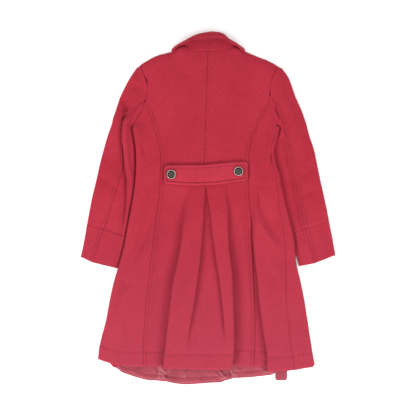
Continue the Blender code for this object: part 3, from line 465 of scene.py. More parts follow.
def flat_back(points, y):
    """The same columns where the back is not folded, spread evenly between the seams."""
    stops = [("seam_l", "centre", STITCHED, STITCHED, INNER, HALF),
             ("centre", "seam_r", STITCHED, STITCHED, INNER, HALF),
             ("seam_r", "side_r", PLAIN, (), SIDE_R - SEAM_R - len(PLAIN) - 1, LAP - SEAM_R)]
    for first, second, start, end, count, used in stops:
        a, b = at(BODY, first, y), at(BODY, second, y)
        for t in shares(b - a, start, end, count)[:used]:
            x = mix(a, b, t)
            points.append((x, base_height(x, y), -460))


def side_end(points, y):
    """From the last fold to the side seam, then over the right side edge to the underside."""
    x0, z0, _ = points[-1]
    seam = at(BODY, "side_r", y)
    edge = at(BODY, "edge_r", y)
    top = at(LEVELS, "top_r", y)
    low = at(LEVELS, "low_r", y)
    closed = below_armpit(y)
    turned = nose(edge - 0.2, top, low, closed, 1)[::-1]
    whole = max(turned[0][0] - x0, 1.0)
    for t in shares(seam - x0, (), PLAIN, PANEL_RUN):
        x = mix(x0, seam, t)
        points.append((x, mix(z0, top, ease((x - x0) / whole)), hem_at(x)))
    z_seam = points[-1][1]
    for t in shares(turned[0][0] - seam, PLAIN, (), EDGE_RUN):
        x = mix(seam, turned[0][0], t)
        points.append((x, mix(z_seam, top, t), hem_at(x)))
    for x, z in turned[1:]:
        points.append((x, z, hem_at(edge)))


def back_section(y):
    """The whole back at one place along the coat, from the left edge's underside to the right's."""
    points = left_side(y)
    start = list(points)
    flat_back(points, y)
    folded = ease((PLEATS_START + 36 - y) / 28)
    if folded > 0:
        folded_back(start, y)
        points = [tuple(mix(np.array(a), np.array(b), folded)) for a, b in zip(points, start)]
    side_end(points, y)
    return [(x, settle(y, hem), z) for x, z, hem in points]


def yoke_row(t):
    """A row of the upper back, between the shoulder line (t = 0) and a level row (t = 1)."""
    y_l = mix(TOP["y"][0], YOKE_END, t)
    y_r = mix(TOP["y"][-1], YOKE_END, t)
    ends = (at(BODY, "seam_l", y_l), at(BODY, "centre", YOKE_END) * t, at(BODY, "seam_r", y_r))
    tops = (TOP["x"][0], 0.0, TOP["x"][-1])
    row = []
    for k in (0, 1):
        stops = shares(ends[k + 1] - ends[k], STITCHED, STITCHED, INNER)
        for u in ([0.0] + stops if k == 0 else stops):
            x = mix(ends[k], ends[k + 1], u)
            x_top = mix(tops[k], tops[k + 1], u)
            top = line(TOP, "y", x_top, "x")
            y = mix(top, YOKE_END, t)
            down = top - y
            full = base_height(x, y)
            roll = mix(3.9, full, min(1.0, math.sin(min(down / 26, 1.0) * math.pi / 2)))
            neck = mix(7.4 + 5.0 * collar_dip(x_top), full, ease(down / 40))
            row.append((x, y, mix(neck, roll, ease((abs(x_top) - 88) / 22))))
    return row


YOKE_ROWS = [0.0, 0.012, 0.03, 0.055, 0.085] + spaced(0.12, 0.97, 24)
BACK_ROWS = spaced(YOKE_END, HEM_END, int((YOKE_END - HEM_END) / ROW_STEP))


def normals(grid):
    along = np.gradient(grid, axis=0)
    across = np.gradient(grid, axis=1)
    n = np.cross(along, across)
    return n / np.maximum(np.linalg.norm(n, axis=2, keepdims=True), 1e-9)


def unit(vectors):
    return vectors / np.maximum(np.linalg.norm(vectors, axis=-1, keepdims=True), 1e-9)


def pull_in(grid, side, amount):
    """Draw one side of a panel back from its seam."""
    grid = grid.copy()
    views = {"left": (grid[:, 0], grid[:, 1]), "right": (grid[:, -1], grid[:, -2]),
             "first": (grid[0], grid[1]), "last": (grid[-1], grid[-2])}
    edge, inner = views[side]
    step = inner - edge
    length = np.linalg.norm(step, axis=1, keepdims=True)
    edge += step / np.maximum(length, 1e-6) * np.minimum(amount, length * 0.45)
    return grid


def pull_both(grid):
    return pull_in(pull_in(grid, "left", SEAM_EASE), "right", SEAM_EASE)


def across_from(grid, column):
    """Distance along the cloth of every point from one column, row by row."""
    steps = np.linalg.norm(np.diff(grid, axis=1), axis=2)
    along = np.concatenate([np.zeros((len(grid), 1)), np.cumsum(steps, axis=1)], axis=1)
    return along - along[:, column:column + 1]


def down_from(grid, row):
    """Distance along the cloth of every point from one row, column by column."""
    return across_from(grid.transpose(1, 0, 2), row).T


def groove(s):
    """A seam: both panels dip into it."""
    return -1.3 * bump(s, 0, 1.4)


def pucker(s, y, seed):
    """Uneven fullness along a seam."""
    return 1 + 0.3 * noise(s * 0, y, 9.5, seed) + 0.2 * noise(s * 0, y, 31, seed + 1)


def strip(s, y, seed, soft=1.0):
    """Seam allowances under the cloth as far as a line of topstitching, for distances above 0."""
    raised = 1.55 * smooth((s - 0.4) / 2.0) * smooth((8.8 - s) / 2.2) * pucker(s, y, seed)
    return soft * (raised + 0.35 * bump(s, 12.0, 2.2) - 0.85 * bump(s, 8.8, 1.15))


def cuff_strip(s, y, seed):
    """The flatter strip on both sides of a cuff's seam, highest beside its stitches."""
    raised = 0.25 * smooth((s - 0.4) / 2.0) + 1.0 * smooth((s - 4.0) / 3.0)
    return raised * smooth((8.9 - s) / 1.9) * pucker(s, y, seed) - 0.7 * bump(s, 8.9, 1.15)


def crease(x, y, points, width, height, flare=1.0):
    """A soft fold along a bent line, fading at both ends; a furrow where its height is below 0."""
    points = np.array(points, dtype=float)
    steps = np.linalg.norm(np.diff(points, axis=0), axis=1)
    starts = np.concatenate([[0], np.cumsum(steps)])
    best = np.full(np.shape(x), 1e9)
    share = np.zeros(np.shape(x))
    for k, length in enumerate(steps):
        ax, ay = points[k]
        dx, dy = (points[k + 1] - points[k]) / length
        t = np.clip((x - ax) * dx + (y - ay) * dy, 0, length)
        d = np.hypot(x - ax - t * dx, y - ay - t * dy)
        nearer = d < best
        best = np.where(nearer, d, best)
        share = np.where(nearer, (starts[k] + t) / starts[-1], share)
    fade = np.sqrt(np.clip(np.sin(np.pi * np.clip(share, 0.02, 0.98)), 0, 1))
    return height * bump(best, 0, width * mix(1.0, flare, share)) * fade


def creases(x, y, folds):
    return sum(crease(x, y, *fold) for fold in folds)


def unevenness(x, y, seed, amount=1.0):
    """Cloth that has been worn: broad soft waves and small ones on them."""
    return amount * (0.55 * noise(x, y, 74, seed) + 0.24 * noise(x, y, 27, seed + 1)
                     + 0.07 * noise(x, y, 9, seed + 2))


# Drag folds and dents of the back: bent line, width, height and how much wider the end is. Each list's
# heights are multiplied by its depth.
BACK_FOLDS_RIGHT = [
    ([(128, 64), (142, 30), (157, 2), (180, -49), (203, -93)], 11, -1.7, 1.3),
    ([(134, -10), (157, -58), (180, -87), (205, -120)], 11, 1.2, 1.2),
    ([(187, 168), (183, 148), (183, 126)], 4, -1.7, 1.0),
    ([(170, 215), (182, 190), (186, 160)], 9, 0.7, 1.0),
    ([(190, -150), (212, -215), (222, -280)], 15, 0.8, 1.0),
]
BACK_FOLDS_LEFT = [
    ([(-172, -30), (-186, -80), (-201, -120), (-220, -160), (-240, -205)], 13, -2.6, 1.2),
    ([(-186, -110), (-205, -150), (-222, -190)], 12, 1.0, 1.0),
    ([(-228, -205), (-250, -238), (-276, -280)], 8, -1.7, 1.0),
    ([(-248, -216), (-264, -248), (-282, -280)], 7, 0.9, 1.0),
    ([(-195, 195), (-186, 168), (-177, 136)], 8, -0.9, 1.2),
    ([(-200, 240), (-196, 190), (-197, 140)], 9, 0.7, 1.0),
    ([(-262, -320), (-250, -372), (-262, -420)], 16, 0.9, 1.0),
]
LEFT_DEPTH, RIGHT_DEPTH, BOX_DEPTH, SLEEVE_DEPTH, TUCK_DEPTH = 3.8, 3.4, 2.2, 1.8, 2.0
BOX_FOLDS = [
    ([(-36, 44), (-52, -20), (-70, -110)], 14, 0.8, 1.2),
    ([(-22, -40), (-46, -150), (-72, -290), (-88, -420)], 18, 0.7, 1.2),
    ([(38, 36), (44, -60), (52, -200)], 12, -0.8, 1.2),
    ([(16, -160), (30, -290), (34, -430)], 13, 0.6, 1.0),
]

# Soft ridges between the skirt's folds
RIDGE_LEFT = ([(-146, 30), (-154, -50), (-166, -160), (-178, -300), (-184, -440)], 22, 8.0, 1.1)
RIDGE_RIGHT = ([(88, 34), (98, -50), (108, -160), (116, -300), (112, -440)], 14, 8.0, 1.1)


def back_relief(grid, n):
    """Seams, topstitching, drag folds and the hem of the whole lower back."""
    x, y = grid[..., 0], grid[..., 1]
    left, centre, right, side = (across_from(grid, column) for column in (SEAM_L, CENTRE, SEAM_R, SIDE_R))
    columns = np.arange(grid.shape[1])[None, :] + 0 * x
    stitched = 2 * len(STITCHED)
    near = len(STITCHED) + NEAR_RUN
    above_belt = smooth((y - 66) / 26)
    low = smooth((306 - y) / 14)
    seams = groove(left) + groove(right) + groove(side) * smooth((232 - y) / 10)
    seams = seams + 0.7 * groove(centre) * above_belt
    seams = seams + np.where((columns > SEAM_L) & (columns < SEAM_L + stitched), strip(left, y, 5), 0) * low
    seams = seams + np.where((columns < SEAM_R) & (columns > SEAM_R - stitched), strip(-right, y, 6), 0) * low
    beside = (columns > SIDE_R) & (columns < SIDE_R + 8)
    seams = seams + np.where(beside, 0.5 * strip(side, y, 7), 0) * smooth((226 - y) / 20)
    middle = np.abs(columns - CENTRE) < stitched
    seams = seams + np.where(middle, strip(np.abs(centre), y, 8, 0.65), 0) * above_belt
    folds = LEFT_DEPTH * creases(x, y, BACK_FOLDS_LEFT) * (columns < SEAM_L)
    folds = folds + crease(x, y, *RIDGE_LEFT) * (columns < SEAM_L + near)
    folds = folds + crease(x, y, *RIDGE_RIGHT) * ((columns > SEAM_R - near) & (columns < LAP - FOLD))
    folds = folds + RIGHT_DEPTH * creases(x, y, BACK_FOLDS_RIGHT) * (columns >= LAP)
    box = (columns > SEAM_L + near) & (columns < SEAM_R - near)
    folds = folds + BOX_DEPTH * creases(x, y, BOX_FOLDS) * box * smooth((60 - y) / 40)
    up = smooth((n[..., 2] + 0.1) / 0.7)
    return seams + (folds + unevenness(x, y, 11, 1.9) + 2.6 * hem_relief(grid)) * up


HEM_DEPTH = 44.0


def hem_relief(grid):
    """The turned-up hem: a faint line at its top edge, fuller cloth and small puckers below it."""
    x, y = grid[..., 0], grid[..., 1]
    above = y - y[-1:, :]
    depth = HEM_DEPTH + 3 * noise(x, y * 0, 60, 21)
    top_edge = -0.95 * bump(above, depth, 2.2) * (0.7 + 0.3 * noise(x, y, 25, 22))
    puckers = 0.38 * noise(x, y * 0.25, 8.5, 23) + 0.3 * noise(x + 0.3 * y, y * 0.4, 17, 24)
    return top_edge + smooth((depth - above) / 6) * (0.45 + puckers) - 1.1 * bump(above, 0, 1.5)


def yoke_relief(grid):
    """Seams, topstitching and unevenness of the upper back."""
    x, y = grid[..., 0], grid[..., 1]
    centre, edge_l = across_from(grid, HALF), across_from(grid, 0)
    edge_r = -across_from(grid, grid.shape[1] - 1)
    seams = 0.7 * groove(centre) + groove(edge_l) + groove(edge_r)
    seams = seams + strip(np.abs(centre), y, 8, 0.65) * (np.abs(centre) < 22)
    seams = seams + 0.5 * bump(edge_l, 4, 3) + 0.5 * bump(edge_r, 4, 3)
    return seams - 0.9 * bump(down_from(grid, 0), 0, 1.4) + unevenness(x, y, 11, 1.9)


def moved(grid, n, relief):
    return grid + n * np.asarray(relief)[..., None]


def back_grids():
    """The back's panels, cut from one surface at the seams."""
    lower = np.array([back_section(y) for y in BACK_ROWS])
    upper = np.array([yoke_row(t) for t in YOKE_ROWS])
    whole = normals(lower)
    joined_rows = np.concatenate([upper, lower[:, SEAM_L:SEAM_R + 1]])
    top = yoke_relief(joined_rows[:len(upper) + 1])
    relief = back_relief(lower, whole)
    n = normals(joined_rows)
    n[len(upper):, 0] = whole[:, SEAM_L]
    n[len(upper):, -1] = whole[:, SEAM_R]
    blend = smooth((np.arange(len(BACK_ROWS)) / 5.0))[:, None]
    relief[:, SEAM_L:SEAM_R + 1] = mix(top[-1][None, :], relief[:, SEAM_L:SEAM_R + 1], blend)
    middle_relief = np.concatenate([top[:-1], relief[:, SEAM_L:SEAM_R + 1]])
    middle = moved(joined_rows, n, middle_relief)
    lower_moved = moved(lower, whole, relief)
    strip_grid, strip_n = side_strip(lower_moved, whole)
    grids = {
        "back_centre_left": (middle[:, :HALF + 1], n[:, :HALF + 1]),
        "back_centre_right": (middle[:, HALF:], n[:, HALF:]),
        "back_side_left": (lower_moved[:, :SEAM_L + 1], whole[:, :SEAM_L + 1]),
        "back_side_right": (lower_moved[1:, SEAM_R:SIDE_R + 1], whole[1:, SEAM_R:SIDE_R + 1]),
        "front_side_right": (strip_grid, strip_n),
    }
    return {name: (pull_both(grid), m) for name, (grid, m) in grids.items()}, middle, n, lower_moved, whole


def under_edge(distance, low):
    """Height of the underside, by its distance from the rounded side edge."""
    return mix(low, FLOOR, ease((distance - 6) / 22))


def side_strip(lower, whole):
    """The front's side panel: from the side seam round the right edge to the underside."""
    start = next(i for i, y in enumerate(BACK_ROWS) if y <= 241)
    rows = []
    for y, section in zip(BACK_ROWS[start:], lower[start:]):
        low = at(LEVELS, "low_r", y)
        x, y_end, _ = section[-1]
        ends = [(x - d, y_end, under_edge(d, low)) for d in (2, 4, 6, 9.5, 13)]
        rows.append([tuple(p) for p in section[SIDE_R:]] + ends)
    grid = np.array(rows)
    n = normals(grid)
    n[:, 0] = whole[start:, SIDE_R]
    return grid, n


# The fronts
FRONT_TOP = spaced(0, 1, 26)
FRONT_ROWS = spaced(BREAK_Y - 6, HEM_END, 110)


def front_inner(side, y):
    """The closing edge of a front: slanting from the neck, then straight."""
    share = float(np.clip((NECK_Y - y) / (NECK_Y - BREAK_Y), 0, 1))
    return mix(-80.0, FRONT_L_EDGE, share) if side < 0 else mix(80.0, FRONT_R_EDGE, share)


def climb_start(y):
    """Where the left front begins to climb over the right one."""
    return front_inner(1, y - 40) - 20


def front_height(side, x, y, out, low):
    """On the surface; the left front climbs over the right one, and both rise at the side edge."""
    z = FLOOR
    if side < 0:
        z += LAYER * ease((x - climb_start(y)) / 14)
    return max(z, under_edge(abs(x - out) + (13 if side > 0 else 0), low))


def front_outer(side, y):
    """Where the front starts at its side seam or armhole."""
    column, gap = ("edge_l", 1) if side < 0 else ("edge_r", -1)
    edge = at(BODY, column, y)
    top = at(LEVELS, "top_l" if side < 0 else "top_r", y)
    low = at(LEVELS, "low_l" if side < 0 else "low_r", y)
    closed = below_armpit(y)
    inset = (0.6 + (top - low) / 2) * closed - 0.4
    inset += 1.5 * math.sin(math.pi * closed)
    if side > 0:
        inset += 13 * closed
    return edge + gap * inset, mix(FLOOR, low, closed)


def front_hem(side, x):
    """The hem of a front; the right one stays above the left one where that covers it."""
    hem = line(FRONT_HEM, "y", x, "x")
    return max(hem, -497.0) if side > 0 and x < FRONT_L_EDGE + 6 else hem


def front_stops(side, x_out, x_in, y):
    """Columns of a front, close together at its side edge and where it climbs."""
    toward = -side
    near = [x_out + toward * d for d in (0, 1, 2.5, 4, 6, 8, 11, 14, 18, 24, 30)]
    if side < 0:
        over = min(climb_start(y), x_in - 18)
        return (near + spaced(near[-1], over, 18)[1:] + [over + d for d in (3, 7, 11, 14)]
                + spaced(over + 14, x_in, 24)[1:])
    return near + spaced(near[-1], x_in, 42)[1:]


def front_row(side, y_out, y_in, level):
    """A row of a front; near the top it bends to the shoulder line, level 0 being that line."""
    x_out, low = front_outer(side, y_out)
    x_in = front_inner(side, y_in)
    top_out, top_in = (TOP["x"][0], -80.0) if side < 0 else (TOP["x"][-1], 80.0)
    row = []
    for x in front_stops(side, x_out, x_in, y_in):
        y = y_out
        if level < 1:
            u = (x - x_out) / (x_in - x_out)
            y = mix(line(TOP, "y", mix(top_out, top_in, u), "x"), BREAK_Y, level)
        elif y_out < HEM_EASE:
            y = settle(y_out, front_hem(side, x))
        row.append((x, y, front_height(side, x, y_in, x_out, low)))
    return row


def front_grid(side):
    """A front: the rows of its upper part, bent to the shoulder line, and the level ones below."""
    top = TOP["y"][0 if side < 0 else -1]
    rows = [front_row(side, mix(top, BREAK_Y, t), mix(NECK_Y, BREAK_Y, t), t) for t in FRONT_TOP]
    rows += [front_row(side, y, y, 1.0) for y in FRONT_ROWS]
    grid = np.array(rows)
    grid = grid[:, ::-1] if side < 0 else grid
    return pull_both(grid), normals(grid)


# The sleeves
SLEEVE_FOLDS = {
    -1: [([(-222, 354), (-206, 350), (-192, 343)], 9, -1.1, 1.0),
         ([(-243, 326), (-241, 304), (-240, 290), (-245, 274)], 13, -5.0, 1.2),
         ([(-221, 277), (-231, 269), (-240, 262), (-246, 251)], 3.4, -3.0, 1.0),
         ([(-216, 262), (-226, 256), (-234, 246)], 6, 1.4, 1.0),
         ([(-310, 92), (-286, 74), (-260, 50)], 12, -2.0, 1.0),
         ([(-322, 20), (-308, -6), (-296, -30)], 12, 0.9, 1.0)],
    1: [([(190, 296), (197, 284), (203, 270), (206, 258)], 2.6, -3.2, 1.2),
        ([(212, 262), (214, 246), (220, 226)], 5, 1.3, 1.0),
        ([(214, 240), (219, 228), (224, 210)], 2.6, -2.2, 1.2),
        ([(258, 330), (272, 290), (280, 250)], 14, 0.9, 1.0),
        ([(312, 124), (292, 108), (268, 92)], 13, -2.0, 1.0),
        ([(306, 52), (286, 44), (264, 30)], 11, -1.8, 1.0),
        ([(318, 60), (322, 20), (330, -20)], 10, 0.8, 1.0)],
}


def sleeve_crown(columns, x, y, height):
    """The rounded top of a sleeve, how far it is from the shoulder (0 to 1), and its inside fold."""
    outer, inner = at(columns, "outer", y), at(columns, "inner", y)
    u = (x - outer) / (inner - outer)
    crown = 9.0 + height * math.sin(math.pi * min(max(u, 0), 1)) ** 0.8 * ease((412 - y) / 120)
    near = ease((412 - y) / 40)
    return mix(4.6, crown, near), near, inner


def beside_body(z, crown, near, inside, y):
    """The upper layer next to the body: tucked under its edge, or level with it above the armhole's end."""
    tucked = mix(4.2, z, ease((inside - 4) / 12))
    level = mix(z, 9.4, ease(1 - inside / 26))
    return mix(tucked, mix(crown, level, near), ease((y - 232) / 14))


def left_sleeve_top(x, y):
    """Height of the left sleeve's upper layer, with its deep crease and the roll beside it."""
    crown, near, inner = sleeve_crown(SLEEVE_L, x, y, 7.0)
    fold = at(CREASE, "x", y)
    depth = 1.5 * line(CREASE, "depth", y)
    wide = mix(4.5, 2.4, min(depth / 7, 1))
    drop = math.exp((x - fold) / 15.0) if x < fold else float(bump(x, fold, wide))
    z = crown - 1.35 * depth * drop + 0.55 * depth * float(bump(x, fold + 12, 7))
    return beside_body(max(z, 4.0), crown, near, inner - x, y)


def right_sleeve_top(x, y):
    """Height of the right sleeve's upper layer, low between the body's edge and the back seam."""
    crown, near, inner = sleeve_crown(SLEEVE_R, x, y, 6.5)
    seam = at(SLEEVE_R, "seam", y)
    low = mix(crown, 4.8, ease((226 - y) / 30) * ease((y + 120) / 90))
    z = mix(crown, low, ease((seam - 1 - x) / 9)) - 3.5 * float(bump(x, seam - 5, 5) * bump(y, 262, 22))
    return beside_body(z, crown, near, x - inner, y)


# Columns and rows of the sleeves, and the heights where they turn under
SLEEVE_NOSE, OUTER_RUN, UNDER_RUN, FLOOR_RUN = 12, 20, 22, 12
SLEEVE_ROWS, CUFF_ROWS = 116, 30
SLEEVE_TURN, TUCK_TURN = 9.0, 4.2
OVER = len(STITCHED) + OUTER_RUN + 1
CUFF_STITCH = 8.8


def half_turn(centre, top, low, side, count):
    """A fold from above to below, bulging to one side."""
    radius = (top - low) / 2
    return [(centre + side * radius * math.sin(math.pi * i / count),
             low + radius * (1 + math.cos(math.pi * i / count))) for i in range(1, count + 1)]


def inside_fold(columns, side, y):
    """A sleeve's inside edge: the armhole, and under it the fold below the body's edge."""
    edge, shift = ("edge_l", 5) if side < 0 else ("edge_r", 10)
    armhole = at(BODY, edge, y) - side * shift * float(bump(y, 237, 12))
    return mix(armhole, at(columns, "inner", y), below_armpit(y))


def along_floor(points, end, inner, y_out, y_in):
    """Goes on from the outside fold, back along the surface."""
    start = points[-1][0]
    for i in range(1, FLOOR_RUN + 1):
        x = mix(start, end, i / FLOOR_RUN)
        points.append((x, mix(y_out, y_in, (x - start) / (inner - start)), FLOOR))


def across_top(first, last, stations, top_of):
    """Points on the upper layer from one place to another."""
    places = [(mix(first[0], last[0], u), mix(first[1], last[1], u)) for u in stations]
    return [(x, y, top_of(x, y)) for x, y in places]


def sleeve_lines(side):
    """The places of a sleeve's rows: along its outside fold, its back seam and its inside fold."""
    top, seam_end, out_end, in_end = (415, -61, -49, -84) if side < 0 else (412, -60, -39, -72)
    rows = []
    for y in np.linspace(top - 1, seam_end, SLEEVE_ROWS):
        down = max(0.0, (230 - y) / (230 - seam_end))
        tilt = 6.5 * ease(1 - (top - y) / 26)
        rows.append((y + (out_end - seam_end) * down - tilt, y, y + (in_end - seam_end) * down))
    return rows


def sleeve_over(columns, top_of, side, y_out, y_seam):
    """From the back seam over the crown and round the outside fold, down to the surface."""
    outer = at(columns, "outer", y_out)
    seam = at(columns, "seam", y_seam)
    top = mix(FLOOR + LAYER + 0.8, SLEEVE_TURN, ease((405 - y_out) / 40))
    x_turn = outer - side * (top - FLOOR) / 2
    points = []
    for u in [0.0] + shares(abs(x_turn - seam), STITCHED, (), OUTER_RUN):
        x = mix(seam, x_turn, u)
        y = mix(y_seam, y_out, u)
        points.append((x, y, mix(top_of(x, y), top, ease((u - 0.5) / 0.5))))
    points += [(x, y_out, z) for x, z in half_turn(x_turn, top, FLOOR, side, SLEEVE_NOSE)]
    return points


def sleeve_upper(columns, top_of, side):
    """The upper sleeve: back seam, crown, outside fold, and back along the surface."""
    rows = []
    for y_out, y_seam, y_in in sleeve_lines(side):
        points = sleeve_over(columns, top_of, side, y_out, y_seam)
        inner = inside_fold(columns, side, y_in)
        end = inner + side * mix(-0.6, 1.0, below_armpit(y_in, 6, 20))
        along_floor(points, end, inner, y_out, y_in)
        rows.append(points)
    grid = np.array(rows)
    return grid[:, ::-1] if side < 0 else grid


def sleeve_under(columns, top_of, side, first):
    """The under sleeve: back seam to the inside fold, and down to the surface."""
    rows = []
    for _, y_seam, y_in in sleeve_lines(side):
        if y_seam > first:
            continue
        seam = at(columns, "seam", y_seam)
        turn = max(math.pi * below_armpit(y_in, 6, 20), 0.01)
        radius = max((TUCK_TURN - FLOOR) / 2, 1.6 / turn)
        x_turn = inside_fold(columns, side, y_in) + side * radius * math.sin(min(turn, math.pi / 2))
        stations = [0.0] + shares(abs(x_turn - seam), PLAIN, (), UNDER_RUN)
        points = across_top((seam, y_seam), (x_turn, y_in), stations, top_of)
        z_top = points[-1][2]
        for i in range(1, SLEEVE_NOSE + 1):
            a = turn * i / SLEEVE_NOSE
            points.append((x_turn - side * radius * math.sin(a), y_in + i / SLEEVE_NOSE,
                           z_top - radius * (1 - math.cos(a))))
        rows.append(points)
    grid = np.array(rows)
    return grid[:, ::-1] if side > 0 else grid


def sleeve_relief(grid, n, side, seam_column, stitched):
    """Seam, topstitching, dents and the line of stitching above the cuff, on the upper layer."""
    seed = 40 + side
    x, y = grid[..., 0], grid[..., 1]
    s = np.abs(across_from(grid, seam_column))
    relief = groove(s)
    if stitched:
        relief = relief + strip(s, y, seed) * (s < 24) * smooth((318 - y) / 14)
    up = smooth((n[..., 2] - 0.1) / 0.5)
    end = -down_from(grid, len(grid) - 1)
    relief = relief + (0.25 * groove(end) + cuff_strip(end, x, seed + 3) * (end < 20)) * up
    folds = SLEEVE_DEPTH * creases(x, y, SLEEVE_FOLDS[side])
    return relief + (folds + unevenness(x, y, seed + 5, 2.0)) * up


def sleeve_pair(columns, top_of, side, first):
    """The upper and under sleeve, with one direction of thickness along the seam they share."""
    upper = sleeve_upper(columns, top_of, side)
    under = sleeve_under(columns, top_of, side, first)
    n1, n2 = normals(upper), normals(under)
    seam1, seam2 = (-1, 0) if side < 0 else (0, -1)
    rows = len(under)
    shared = unit(n1[-rows:, seam1] + n2[-rows:, seam2])
    n1[-rows:, seam1] = shared
    n2[-rows:, seam2] = shared
    last1, last2 = upper.shape[1] - 1, under.shape[1] - 1
    r1 = sleeve_relief(upper, n1, side, last1 if side < 0 else 0, True)
    r2 = sleeve_relief(under, n2, side, 0 if side < 0 else last2, False)
    r2[:, seam2] = r1[-rows:, seam1]
    return (moved(upper, n1, r1), n1), (moved(under, n2, r2), n2)


def cuff(columns, top_of, side, seam_line, hem_line):
    """A turned band round the sleeve's end, open only at the back seam."""
    rows = []
    stops = [0, 0.01, 0.02, 0.035, 0.05, 0.065, 0.075, 0.085, 0.095, 0.11, 0.14]
    for t in stops + spaced(0.17, 0.96, CUFF_ROWS) + [0.985, 1.0]:
        y_out, y_seam, y_in = (mix(a, b, t) for a, b in zip(seam_line, hem_line))
        points = sleeve_over(columns, top_of, side, y_out, y_seam)
        inner = at(columns, "inner", y_in)
        x_in = inner + side * (TUCK_TURN - FLOOR) / 2
        along_floor(points, x_in, inner, y_out, y_in)
        points += [(x, y_in, FLOOR + TUCK_TURN - z)
                   for x, z in half_turn(x_in, TUCK_TURN, FLOOR, -side, SLEEVE_NOSE)]
        seam = at(columns, "seam", y_seam)
        stations = shares(abs(seam - x_in), (), PLAIN, UNDER_RUN)
        rows.append(points + across_top((x_in, y_in), (seam, y_seam), stations, top_of))
    grid = np.array(rows)
    grid = grid[:, ::-1] if side < 0 else grid
    n = normals(grid)
    n[:, 0] = n[:, -1] = unit(n[:, 0] + n[:, -1])
    x, y = grid[..., 0], grid[..., 1]
    up = smooth((n[..., 2] - 0.1) / 0.5)
    width = grid.shape[1] - 1
    over = np.abs(across_from(grid, width if side < 0 else 0))
    under = np.abs(across_from(grid, 0 if side < 0 else width))
    down = down_from(grid, 0)
    hem = -down_from(grid, len(grid) - 1)
    relief = (groove(np.minimum(over, under)) + strip(over, y, 47) * (over < 24)
              + 0.25 * groove(down) + cuff_strip(down, x, 48) * (down < 20)
              + unevenness(x, y, 49, 0.8) - 0.35 * bump(hem, 0, 1.5)
              + 0.3 * noise(x, y * 0.3, 14, 50) * smooth((22 - hem) / 14)) * up
    relief[:, 0] = relief[:, -1]
    return pull_in(pull_both(moved(grid, n, relief)), "first", SEAM_EASE), n


# The collar, belt and buttons
def bezier(p0, p1, p2, p3, t):
    s = 1 - t
    return [s ** 3 * a + 3 * s * s * t * b + 3 * s * t * t * c + t ** 3 * d
            for a, b, c, d in zip(p0, p1, p2, p3)]


def collar_dip(x):
    """The stand sinks under the leaf towards both ends of the collar."""
    return float(bump(x, -80, 25) + bump(x, 90, 18))


def collar_curve(x, t):
    """Along the collar's section: 0 at the neck seam, 1 at the fold, 2 at the loose edge."""
    dip = collar_dip(x)
    names = ("fold_y", "edge_y", "fold_z", "edge_z")
    fold_y, edge_y, fold_z, edge_z = (at(COLLAR, name, x, "x") for name in names)
    fold = (fold_y - COLLAR_CLOTH / 2, fold_z - 2.0)
    edge = (edge_y + COLLAR_CLOTH / 2 - 3.0 * dip, edge_z * (1.14 + 0.2 * dip))
    neck = (line(TOP, "y", x, "x") - 0.2, 7.4 + 5.0 * dip)
    if t <= 1:
        c1 = (neck[0] + mix(0.5, 0.15, dip) * (fold[0] - neck[0]), neck[1] + 0.5 - 17.0 * dip)
        return bezier(neck, c1, (fold[0], mix(fold[1], neck[1], 0.6)), fold, t)
    c1 = (fold[0], mix(fold[1], edge[1], 0.55))
    c2 = (edge[0] + 0.45 * (fold[0] - edge[0]), edge[1] - 1.0)
    return bezier(fold, c1, c2, edge, t - 1)


def collar_grid():
    """The collar, with the raised rim and the stitched furrow of its loose edge."""
    xs = spaced(-105, -90, 10) + spaced(-88, 88, 90) + spaced(90, 106, 10)
    ts = spaced(0, 1, 20) + spaced(1, 2, 34)[1:]
    grid = np.array([[(x, *collar_curve(x, t)) for x in xs] for t in reversed(ts)])
    n = normals(grid)
    edge = down_from(grid, 0)
    x = grid[..., 0]
    relief = 1.3 * smooth((edge + 0.4) / 2.4) * smooth((7.0 - edge) / 2.4)
    relief = relief - 0.9 * bump(edge, 7.4, 1.2) + 0.25 * noise(x, edge, 13, 61)
    return moved(grid, n, relief + 0.2 * noise(x, edge, 45, 62)), n


def belt_inside(x, y):
    """Distance inside the belt's rounded outline."""
    x0, x1 = BELT["x"][0], BELT["x"][-1]
    top = np.interp(x, BELT["x"], BELT["top"])
    low = np.interp(x, BELT["x"], BELT["low"])
    qx = np.abs(x - (x0 + x1) / 2) - ((x1 - x0) / 2 - BELT_CORNER)
    qy = np.abs(y - (top + low) / 2) - ((top - low) / 2 - BELT_CORNER)
    outside = np.hypot(np.maximum(qx, 0), np.maximum(qy, 0))
    return BELT_CORNER - outside - np.minimum(np.maximum(qx, qy), 0)


BUTTONHOLES = [(-85.5, 96.0), (71.0, 103.5)]


def belt_inset(x):
    """How far the belt's rounded corner cuts into its long edges."""
    near = min(x - BELT["x"][0], BELT["x"][-1] - x)
    if near >= BELT_CORNER:
        return 0.0
    return BELT_CORNER - math.sqrt(BELT_CORNER ** 2 - (BELT_CORNER - near) ** 2)


